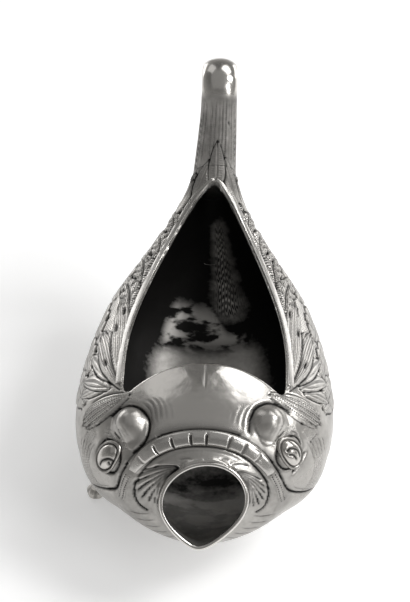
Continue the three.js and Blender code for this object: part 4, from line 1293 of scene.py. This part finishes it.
# Finishes.
class Shader:
    """Short hand for building the nodes of a material or a world."""

    def __init__(self, owner):
        owner.use_nodes = True
        self.tree = owner.node_tree
        self.tree.nodes.clear()

    def node(self, kind, inputs=None, **settings):
        node = self.tree.nodes.new("ShaderNode" + kind)
        for key, value in settings.items():
            setattr(node, key, value)
        for key, value in (inputs or {}).items():
            if isinstance(value, bpy.types.NodeSocket):
                self.tree.links.new(value, node.inputs[key])
            else:
                node.inputs[key].default_value = value
        return node

    def math(self, operation, a, b=0.0):
        return self.node("Math", {0: a, 1: b}, operation=operation).outputs[0]

    def times(self, a, b):
        return self.math("MULTIPLY", a, b)

    def larger(self, a, b):
        return self.math("MAXIMUM", a, b)

    def mix(self, share, a, b):
        """Number between a and b."""
        return self.node("Mix", {"Factor": share, "A": a, "B": b}, data_type="FLOAT").outputs[0]

    def ramp(self, value, low, high, to_low=0.0, to_high=1.0):
        inputs = {"Value": value, "From Min": low, "From Max": high, "To Min": to_low, "To Max": to_high}
        return self.node("MapRange", inputs, interpolation_type="SMOOTHSTEP").outputs[0]

    def where(self):
        return self.node("TexCoord").outputs["Object"]

    def noise(self, scale, detail, roughness=0.5):
        inputs = {"Vector": self.where(), "Scale": scale, "Detail": detail, "Roughness": roughness}
        return self.node("TexNoise", inputs).outputs[0]

    def attribute(self, name, output="Fac"):
        return self.node("Attribute", attribute_name=name).outputs[output]


def silver(name, light, dark, smooth, rough, hammered=0.3):
    """Metal with patina in its hollows and painted shade where it is marked for it, most of all on the
    inside, and punched dots and a ladder pattern where it is marked for them. Lengths of the relief are in
    millimetres."""
    material = bpy.data.materials.new(name)
    shader = Shader(material)
    times = shader.times
    patina = shader.attribute("patina")
    polish = shader.attribute("polish")
    local = shader.node("SeparateXYZ", {0: shader.attribute("chase", "Vector")})
    along, across = local.outputs[0], local.outputs[1]

    in_row = shader.math("PINGPONG", along, DOT_PITCH / 2)
    between_rows = shader.math("PINGPONG", across, VEIN_PITCH / 2)
    off_row = shader.math("SUBTRACT", VEIN_PITCH / 2, between_rows)
    away = shader.math("SQRT", shader.math("ADD", times(in_row, in_row), times(off_row, off_row)))
    dot = times(shader.ramp(away, 0.4, 0.2), shader.attribute("dots"))
    rung = shader.ramp(shader.math("PINGPONG", along, RUNG_PITCH / 2), 0.3, 0.12)
    rail = shader.ramp(shader.math("ABSOLUTE", across), 1.25, 0.95)
    punched = shader.larger(dot, times(times(rung, rail), shader.attribute("hatch")))
    vein = times(shader.ramp(between_rows, 0.26, 0.08), shader.attribute("veins"))

    stain = shader.math("ADD", times(shader.noise(90.0, 4.0, 0.6), 0.5),
                        times(shader.noise(520.0, 3.0, 0.6), 0.3))
    hidden = shader.math("SUBTRACT", 1.0, times(polish, 0.75))
    uneven = times(shader.math("SUBTRACT", stain, 0.4), hidden)
    wide = shader.node("Mapping", {"Vector": shader.where(), "Scale": (90.0, 190.0, 190.0)}).outputs[0]
    cloud = shader.node("TexNoise", {"Vector": wide, "Scale": 1.0, "Detail": 5.0}).outputs[0]
    cloud = shader.ramp(cloud, 0.44, 0.56, -0.06, 0.5)
    uneven = shader.mix(shader.attribute("mottle"), uneven, cloud)
    depth = shader.larger(shader.larger(patina, times(punched, 0.95)), times(vein, 0.6))
    depth = shader.node("Clamp", {0: shader.math("ADD", depth, uneven)}).outputs[0]
    colours = {"Factor": depth, 6: (*light, 1.0), 7: (*dark, 1.0)}
    colour = shader.node("Mix", colours, data_type="RGBA").outputs[2]
    sheen = shader.mix(depth, smooth, rough)
    sheen = shader.mix(polish, sheen, times(sheen, 0.75))

    grain = times(shader.noise(1500.0, 2.0), shader.mix(shader.attribute("matt"), 0.02, 0.1))
    relief = shader.math("ADD", grain, times(shader.noise(130.0, 2.0, 0.4), hammered))
    relief = shader.math("SUBTRACT", relief, times(punched, 0.22))
    relief = shader.math("SUBTRACT", relief, times(vein, 0.12))
    bump = shader.node("Bump", {"Height": relief, "Strength": 1.0, "Distance": MM}).outputs[0]
    metal = shader.node("BsdfPrincipled", {
        "Base Color": colour, "Metallic": shader.mix(depth, 1.0, 0.5), "Roughness": sheen,
        "Specular IOR Level": shader.mix(depth, 0.5, 0.06), "Normal": bump})
    shader.node("OutputMaterial", {"Surface": metal.outputs[0]})
    return material


DARKEST = (0.012, 0.0115, 0.011)
FINISHES = {
    "chased_silver": silver("chased_silver_skin", (0.6, 0.58, 0.55), DARKEST, 0.25, 0.5),
    "polished_silver": silver("polished_silver_skin", (0.68, 0.66, 0.63), (0.015, 0.0145, 0.014), 0.2, 0.45,
                              hammered=0.1),
    "cast_silver": silver("cast_silver_skin", (0.56, 0.54, 0.51), DARKEST, 0.26, 0.5),
}


def settle(piece, node, finish):
    piece.data.materials.append(FINISHES[finish])
    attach(piece, "root")
    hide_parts(node)


# Pieces.
right_chart = body_chart(1)
left_chart = body_chart(-1)
stem_chart = handle_chart()
settle(body_half(right_chart, "body_right_half_chased"), "body_right_half", "chased_silver")
settle(body_half(left_chart, "body_left_half_chased"), "body_left_half", "chased_silver")
settle(lip_wire(), "spout_lip_wire", "polished_silver")
settle(rim_border(), "rim_border", "polished_silver")
settle(brow_fillet(), "brow_fillet", "polished_silver")
settle(eye(-1, "left_eye_cast"), "left_eye", "cast_silver")
settle(eye(1, "right_eye_cast"), "right_eye", "cast_silver")
settle(handle_shell(stem_chart, -90, 90, 330, "handle_outer_chased"), "handle_outer_shell", "chased_silver")
settle(handle_shell(None, 90, 270, 220, "handle_inner_chased"), "handle_inner_shell", "chased_silver")
settle(neck_bulkhead(), "neck_bulkhead", "polished_silver")
for foot_name, foot_place in FEET.items():
    for foot_piece in foot(foot_name, *foot_place):
        settle(foot_piece, foot_name, "cast_silver")

# Floor of white paper, a little below the feet.
FLOOR_SIZE = 12.0
FLOOR_LEVEL = -0.0002
paper = bpy.data.materials.new("paper")
sheet = Shader(paper)
rays = sheet.node("LightPath").outputs
seen = sheet.larger(rays["Is Camera Ray"], rays["Is Glossy Ray"])
seen = sheet.larger(seen, rays["Is Transmission Ray"])
matt_paper = sheet.node("BsdfDiffuse", {"Color": (0.95, 0.95, 0.95, 1.0)}).outputs[0]
glow = sheet.node("Emission", {"Color": (1.0, 1.0, 1.0, 1.0), "Strength": sheet.times(seen, 0.31)}).outputs[0]
sheet.node("OutputMaterial", {"Surface": sheet.node("AddShader", {0: matt_paper, 1: glow}).outputs[0]})
floor_mesh = bpy.data.meshes.new("floor")
floor_mesh.from_pydata([(x * FLOOR_SIZE, y * FLOOR_SIZE, FLOOR_LEVEL)
                        for x, y in ((-1, -1), (1, -1), (1, 1), (-1, 1))], [], [(0, 1, 2, 3)])
floor_mesh.materials.append(paper)
floor = add_object("floor", floor_mesh)

# Studio light from all round, brighter near the ground.
world = bpy.data.worlds.new("studio")
bpy.context.scene.world = world
sky = Shader(world)
height = sky.node("SeparateXYZ", {0: sky.node("TexCoord").outputs["Generated"]}).outputs[2]
level = sky.ramp(height, 0.0, 0.75, 0.4, 0.16)
sky_light = sky.node("Background", {"Color": (1.0, 0.99, 0.97, 1.0), "Strength": level}).outputs[0]
sky.node("OutputWorld", {"Surface": sky_light})

# Lamps: place, width, height and power. They all shine on the belly.
AIM = Vector((0.0, 0.0, 0.05))
LAMPS = {
    "key": ((0.84, 0.02, 0.94), 0.45, 0.45, 7.8),
    "side": ((0.85, -0.66, 0.74), 0.36, 0.66, 3.4),
    "window": ((0.38, 0.523, 0.89), 0.52, 0.37, 1.6),
    "back_left": ((-0.5, 0.64, 0.9), 0.5, 0.6, 0.6),
    "ceiling": ((0.0, -0.2, 1.2), 1.6, 1.6, 1.3),
    "low_right": ((0.637, 0.759, 0.16), 0.5, 0.35, 1.4),
    "low_left": ((-0.616, 0.788, 0.16), 0.5, 0.35, 1.3),
}
for lamp_name, (place, *size, power) in LAMPS.items():
    lamp = bpy.data.lights.new(lamp_name, "AREA")
    lamp.shape = "RECTANGLE"
    lamp.size, lamp.size_y = size
    lamp.energy = power
    light = add_object(lamp_name, lamp)
    light.location = place
    light.rotation_euler = (AIM - Vector(place)).to_track_quat("-Z", "Y").to_euler()

# Camera.
YAW = math.radians(1.596)
ELEVATION = math.radians(41.27)
BACK = Vector((math.sin(YAW) * math.cos(ELEVATION), -math.cos(YAW) * math.cos(ELEVATION),
               math.sin(ELEVATION)))
TARGET = Vector((-1.12, 46.8 + FRAME_SHIFT, 60.0)) * MM
DISTANCE = 0.7
camera_data = bpy.data.cameras.new("camera")
camera_data.lens = 103.3
camera_data.sensor_width = 36.0
camera_data.clip_start = 0.05
camera_data.clip_end = 20.0
camera = add_object("camera", camera_data)
camera.location = TARGET + BACK * DISTANCE
camera.rotation_euler = (-BACK).to_track_quat("-Z", "Y").to_euler()
bpy.context.scene.camera = camera
bpy.context.scene.view_settings.view_transform = "Standard"
